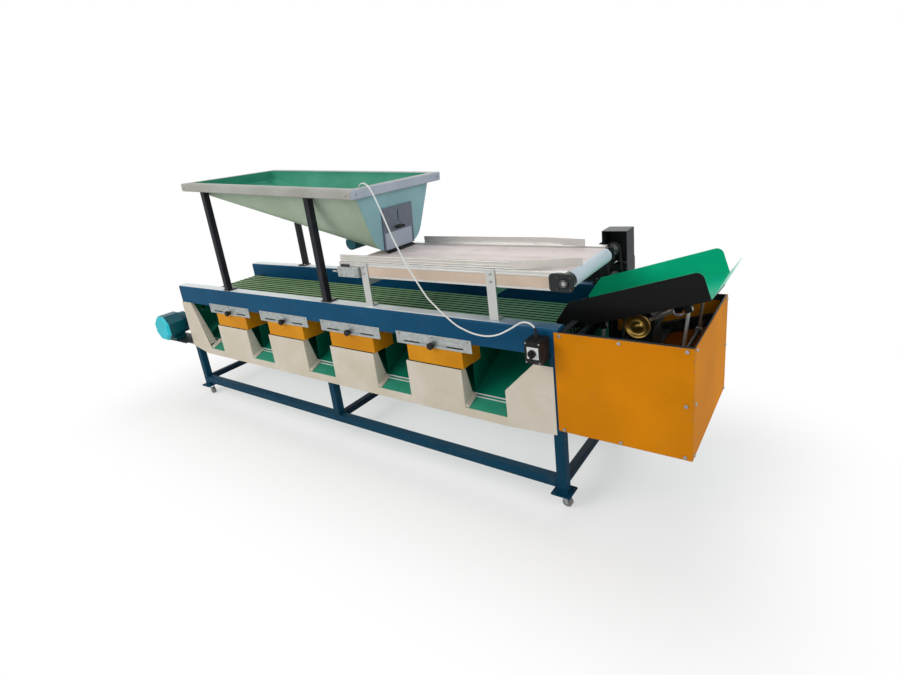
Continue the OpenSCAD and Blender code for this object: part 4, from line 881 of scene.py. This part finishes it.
foot = cheek_foot()
feet = [foot] + [
    copied(foot, "cheek_foot_%d" % i, (x, 0, 0))
    for i, x in enumerate([-540] + [OUTLET_PITCH * j for j in range(1, OUTLETS)])
]
finish(merged("cheek_feet", feet), "machine", cream, "cream_paint")
strips = [
    block("board_edge_strip", (57, -294, 480.5), (3123, -290.4, 487), 0.8),
    block("floor_edge_strip", (57, -306, 470), (3123, -302, 475), 0.8),
]
finish(merged("outlet_edge_strips", strips), "machine", white, "white_plastic")
softened("slotted_plates", 0.8, zinc)


def slot_insert():
    """Dark strip in the end of a plate's slot, clear of the stud's travel."""
    o = block("slot_insert", (718.5, -382.6, 767.8), (816.5, -380.2, 776.2))
    edges(o, lambda a, b: abs(a.y - b.y) > 0.001)
    ops.mesh.bevel(offset=0.0038, segments=4)
    object_mode()
    return round_edges(o, 0.3)


insert = slot_insert()
inserts = [insert] + [
    copied(insert, "slot_insert_%d" % i, (x, 0, 0))
    for i, x in enumerate(q for j in range(OUTLETS) for q in (OUTLET_PITCH * j - 278, OUTLET_PITCH * j) if q)
]
finish(merged("slot_inserts", inserts), "machine", black, "black_plastic")
for i in "1234":
    softened("divider_" + i, 0.8, orange)
    softened("divider_knob_" + i, 2.2, black, 3)

# conveyor

conveyor = softened("conveyor_frame", 0.8, aluminium)
also(conveyor, skirt, lambda c, n: c.z > at(0, 0, 1191).z and c.y < at(0, -200, 0).y)


def slotted_strip():
    """Upper edge of the conveyor's side, with the groove of its profile."""
    o = block("side_strip", (1852, -353.5, 1167), (3178, -350.2, 1189))
    faces(o, lambda c, n: n.y < -0.9)
    ops.mesh.inset(thickness=0.0075)
    ops.mesh.extrude_region_move(TRANSFORM_OT_translate={"value": (0, 0.0025, 0)})
    object_mode()
    return round_edges(o, 0.6)


strips = [slotted_strip(), block("side_strip_low", (1930, -352.5, 1104.5), (3180, -350.2, 1115), 0.6)]
finish(merged("conveyor_side_strips", strips), "machine", aluminium, "aluminium")
panel = block("conveyor_side_panel", (1930, -351.4, 1115.5), (3180, -350.2, 1166.5), 0.4)
finish(panel, "machine", beige, "cream_paint")


def tail_cover():
    """Folded plate over the tail bearing."""
    o = block("tail_cover", (1848, -376, 1108), (2008, -350.6, 1165))
    faces(o, lambda c, n: n.y > 0.9)
    ops.mesh.delete(type="FACE")
    object_mode()
    modify(o, "SOLIDIFY", thickness=0.002, offset=-1)
    return round_edges(o, 0.7)


finish(tail_cover(), "machine", zinc, "galvanised")
skirt_folds = [
    block("skirt_fold_%d" % i, (1860, y, z), (2955, y + 4, z + 5), 1.6, 3)
    for i, (y, z) in enumerate([(-343.5, 1219), (-343, 1203), (-343.5, 1191)])
]
finish(merged("guide_skirt_folds", skirt_folds), "machine", aluminium, "aluminium")
softened("conveyor_belt", 0.6, belt_white)
softened("conveyor_posts", 1.2, upright)
for node in ("conveyor_drive_roller", "conveyor_tail_roller", "conveyor_motor_sprocket"):
    softened(node, 0.6, steel)
softened("drive_guard", 1.2, dark)


def motor_plate():
    """Plate on the back rail, cut out round the conveyor's motor."""
    o = block("motor_plate", (2985, 376.5, 948.2), (3285, 379.5, 1085))
    cut_out(o, [
        rod("motor_bore", on_axis(CONVEYOR_MOTOR, 370), on_axis(CONVEYOR_MOTOR, 386), 60.5, 48),
        block("motor_foot_cut", (3186, 370, 930), (3264, 386, 980)),
    ])
    return round_edges(o, 0.8)


guard_sheets = [
    motor_plate(),
    block("guard_lower_wall", (3290.2, 232, 945), (3293, 344.8, 1062), 0.5),
    block("motor_plate_foot", (2985, 350, 940.2), (3078, 379.5, 948.4), 0.8),
]
finish(merged("guard_lower_sheets", guard_sheets), "machine", dark, "dark_paint")
motors = softened("small_motors", 2, teal)
also(motors, dark, lambda c, n: c.x > at(3000, 0, 0).x)


def nose_plate():
    """Dark end plate round the nose bearing."""
    o = block("nose_plate", (3146, -362.5, 1105), (3256, -350.6, 1186))
    edges(o, lambda a, b: abs(a.y - b.y) > 0.001)
    ops.mesh.bevel(offset=0.018, segments=5)
    object_mode()
    cut_out(o, [rod("nose_bore", on_axis(NOSE_ROLLER, -380), on_axis(NOSE_ROLLER, -340), 21, 40)])
    return round_edges(o, 0.8)


finish(nose_plate(), "machine", dark, "dark_paint")

# drive box, trough and shaker

# angle frame with a narrow upper flange
shifted(softened("box_frame", 0.8, dark), (
    (at(3700, -352, 921), at(3706, 286, 926), (0.024, 0, 0)),
    (at(3206, 281, 921), at(3730, 287, 926), (0, 0.024, 0)),
    (at(3206, -353, 921), at(3730, -347, 926), (0, -0.012, 0)),
))
base = block("box_base_sheet", (3183.5, -376.5, 436.5), (3729, 310, 438.5), 0.5)
finish(base, "machine", dark, "dark_paint")
softened("box_panels", 1.2, yellow)
softened("trough", 1, trough_green)
softened("rocker_left", 1, zinc)
softened("rocker_right", 1, zinc)


def eccentric():
    """Eccentric wheel with a sunk face."""
    o = softened("shaker_eccentric", 1.2, gold_zinc)
    fronts = [f for f in o.data.polygons if f.normal.y < -0.95]
    spot = max(fronts, key=lambda f: f.area).center.copy()
    faces(o, lambda c, n: n.y < -0.95 and (c - spot).length < 0.001)
    ops.mesh.inset(thickness=0.011)
    ops.mesh.extrude_region_move(TRANSFORM_OT_translate={"value": (0, 0.005, 0)})
    ops.mesh.inset(thickness=0.022)
    ops.mesh.extrude_region_move(TRANSFORM_OT_translate={"value": (0, -0.006, 0)})
    object_mode()


eccentric()
softened("shaker_rod", 1.2, steel)


def motor_cover():
    """Eight-sided cover over the motor's body, with its flats up."""
    o = rod("motor_cover", on_axis(BED_MOTOR, -439), on_axis(BED_MOTOR, -352), 107.6, 8)
    faces(o, lambda c, n: True)
    ops.transform.rotate(
        value=math.radians(22.5), orient_axis="Y", center_override=at(*on_axis(BED_MOTOR, -400))
    )
    object_mode()
    return round_edges(o, 2)


def fins(name, middle, r, height, y0, y1, count):
    """Cooling fins round a motor's body."""
    x, z = middle
    o = block(name, (x - 1.8, y0, z + r - 2), (x + 1.8, y1, z + r + height), 0.9)
    return around(o, on_axis(middle, 0), (0, 1, 0), count)


gearmotor = softened("bed_gearmotor", 2, teal)
# the cowl end takes the lighter copy of the teal: painted sky light
also(gearmotor, cyan, lambda c, n: c.y < at(0, -478, 0).y)
finish(motor_cover(), "machine", teal, "teal_paint")
small_fins = [
    fins("conveyor_motor_fins", CONVEYOR_MOTOR, 54, 5, 306, 380, 24),
    fins("shaker_motor_fins", SHAKER_MOTOR, 65, 5, 6, 150, 28),
]
finish(merged("small_motor_fins", small_fins), "machine", dark, "dark_paint")


LINK_PITCH = 12.7


def chain_link():
    """Two side plates and a roller, round the point that places are measured from."""
    plate = block("link_plate", (-8, 0, -4.4), (8, 1.7, 4.4))
    edges(plate, lambda a, b: abs(a.y - b.y) > 0.001)
    ops.mesh.bevel(offset=0.0036, segments=2)
    object_mode()
    other = copied(plate, "link_plate_far", (0, 6.3, 0))
    roller = rod("link_roller", (-LINK_PITCH / 2, 0.2, 0), (-LINK_PITCH / 2, 7.8, 0), 3.3, 10)
    return merged("chain_link", [plate, other, roller])


def chain(name, a, b, r, y):
    """Links laid along the loop round two sprockets."""
    a, b = Vector(a), Vector(b)
    way = (b - a).normalized()
    side = Vector((-way.y, way.x))
    straight, bend = (b - a).length, math.pi * r
    whole = 2 * straight + 2 * bend
    count = round(whole / LINK_PITCH)
    first = chain_link()
    links = []
    for i in range(count):
        s = i * whole / count
        if s < straight:
            p, d = a + side * r + way * s, way
        elif s < straight + bend:
            t = (s - straight) / r
            p = b + side * r * math.cos(t) + way * r * math.sin(t)
            d = way * math.cos(t) - side * math.sin(t)
        elif s < 2 * straight + bend:
            p, d = b - side * r - way * (s - straight - bend), -way
        else:
            t = (s - 2 * straight - bend) / r
            p = a - side * r * math.cos(t) - way * r * math.sin(t)
            d = side * math.sin(t) - way * math.cos(t)
        lean = math.degrees(math.atan2(d.y, d.x))
        links.append(turned(first, "%s_%d" % (name, i), (0, 0, 0), "Y", lean, (p.x, y, p.y)))
    bpy.data.objects.remove(first)
    return merged(name, links)


chains = [
    chain("bed_chain", BED_ROLLER, BED_MOTOR, 40.1, -266),
    chain("conveyor_chain", NOSE_ROLLER, CONVEYOR_MOTOR, 34.1, 255),
]
finish(merged("drive_chain_links", chains), "machine", chain_steel, "steel", ("drive_chains",))

# hopper


def hopper_shell():
    """Moulded tub: pale outside, green inside, with a crisp flat outlet end in painted bluish sky light."""
    o = softened("hopper_shell", 1.5, pale_green)
    heart = at(*in_hopper(200, 0, -100))
    end = (at(*in_hopper(1, 0, 0)) - at(*in_hopper(0, 0, 0))).normalized()
    also(o, inner_green, lambda c, n: (c - heart).dot(n) < 0)
    # outer faces at the outlet end take the painted sky light
    also(o, pale_cyan, lambda c, n: (c - heart).dot(n) >= 0 and n.dot(end) > 0.9)


hopper_shell()
rim = softened("hopper_rim", 9, rim_white, 4)
# painted sky light: the rim's faces towards the outlet end take the bluish gate sheet colour
also(rim, gate_white, lambda c, n: n.x > 0.7 and c.x > at(2000, 0, 0).x)


def gate_guide():
    """Guide plate of the gate, its upper edge cut down."""
    o = softened("gate_guide", 0.8, dull_zinc)
    foot = at(*in_hopper(0, 0, 0))
    up = (at(*in_hopper(0, 0, 1)) - foot).normalized()
    corners(o, lambda v: (v - foot).dot(up) > -0.108)
    ops.transform.translate(value=up * -0.045)
    object_mode()


gate_guide()
softened("hopper_gate", 0.8, gate_white)
softened("outlet_flap", 0.6, rubber)
softened("gate_knob", 3, black, 3)

# switch

switch = softened("switch_box", 1.2, black, 3)
also(switch, white, lambda c, n: c.y < at(0, -470.2, 0).y)
softened("switch_knob", 1.5, black)
trims = [
    block("switch_lid_seam", (3058.6, -450, 798.6), (3141.4, -446, 906.4), 1.2),
    rod("gland_nut", (3100, -425, 905), (3100, -425, 912), 13, 6, 0.8),
]
finish(merged("switch_trims", trims), "machine", black, "black_plastic")


def head(name, p, way, r, t, sides=24):
    """Bolt head: rounded edge and a sunk socket."""
    p = Vector(p)
    way = Vector(way).normalized()
    o = rod(name, p, p + way * t, r, sides)
    faces(o, lambda c, n: n.dot(way) > 0.9)
    ops.mesh.bevel(offset=min(r, t) * 0.3 * MM, segments=2, affect="EDGES")
    object_mode()
    faces(o, lambda c, n: n.dot(way) > 0.99)
    ops.mesh.inset(thickness=r * 0.35 * MM)
    ops.mesh.extrude_region_move(TRANSFORM_OT_translate={"value": -way * t * 0.45 * MM})
    object_mode()
    return smoothed(o, 40)


def heads(name, places, way, r, t, sides=24):
    first = head(name, places[0], way, r, t, sides)
    rest = [
        copied(first, name + "_%d" % i, Vector(p) - Vector(places[0])) for i, p in enumerate(places[1:])
    ]
    return merged(name, [first] + rest)


plate_places = [628.5 + OUTLET_PITCH * i for i in range(OUTLETS)]
FRONT, LEFT, RIGHT, UP = (0, -1, 0), (-1, 0, 0), (1, 0, 0), (0, 0, 1)
screws = [
    heads("plate_screws", [(x + s, -383, 815) for x in plate_places for s in (-220, 0, 220)], FRONT, 6, 4),
    heads(
        "box_front_bolts",
        [(x, -383, z) for x in (3189, 3448.5, 3708) for z in (447, 911)] + [(3708, -383, 679)], FRONT, 8, 5),
    heads("box_side_bolts", [(3736, y, z) for y in (-352, 289) for z in (447, 679, 911)], RIGHT, 8, 5),
    heads("rim_front_bolts", [in_hopper(x, -400, -26) for x in (-775, 775)], FRONT, 7, 4),
    heads(
        "rim_end_bolts", [in_hopper(815, y, -26) for y in (-360, 360)],
        in_hopper(1, 0, 0) - in_hopper(0, 0, 0), 7, 4),
]
finish(merged("panel_screw_heads", screws), "machine", steel, "steel", ("panel_screws",))
bolts = [
    heads("post_bolts", [(x, -358, z) for x in (2040, 2850) for z in (1130, 1166)], FRONT, 7, 5, 6),
    heads("post_foot_bolts", [(x, -328, 948) for x in (2040, 2850)], UP, 7, 6, 6),
    heads(
        "hopper_foot_bolts",
        [(x + s, y, 948) for x in (655, 1690) for s in (-29, 29) for y in (-322, 322)], UP, 6.5, 6, 6),
    heads("tail_bolts", [(x, -376, z) for x in (1872, 1990) for z in (1120, 1153)], FRONT, 6, 5, 6),
    heads("switch_lid_screws", [(x, -470, z) for x in (3068, 3132) for z in (808, 897)], FRONT, 4, 2.5, 16),
    rod("tension_screw", (1800, -366, 1137), (1849, -366, 1137), 5, 16, 0.8),
    head("tension_nut", (1838, -366, 1137), LEFT, 9, 8, 6),
]


def bearing_ring():
    """Round insert of the nose bearing."""
    ops.object.select_all(action="DESELECT")
    ops.mesh.primitive_torus_add(
        major_radius=0.0145, minor_radius=0.0032, major_segments=40, minor_segments=10,
        location=at(*on_axis(NOSE_ROLLER, -370)), rotation=(math.radians(90), 0, 0),
    )
    o = settle("bearing_ring")
    faces(o, lambda c, n: n.y < -0.6)
    ops.transform.translate(value=(0, 0.0012, 0))
    object_mode()
    return smoothed(o, 40)


finish(merged("frame_bolts", bolts), "machine", steel, "steel")
nose_x, nose_z = NOSE_ROLLER
nose_places = [(nose_x + s, -362.5, nose_z + t) for s in (-30, 30) for t in (-26, 26)]
nose_bolts = heads("nose_bolts", nose_places, FRONT, 5.5, 5, 6)
finish(merged("nose_bearing_bolts", [nose_bolts, bearing_ring()]), "machine", chain_steel, "steel")
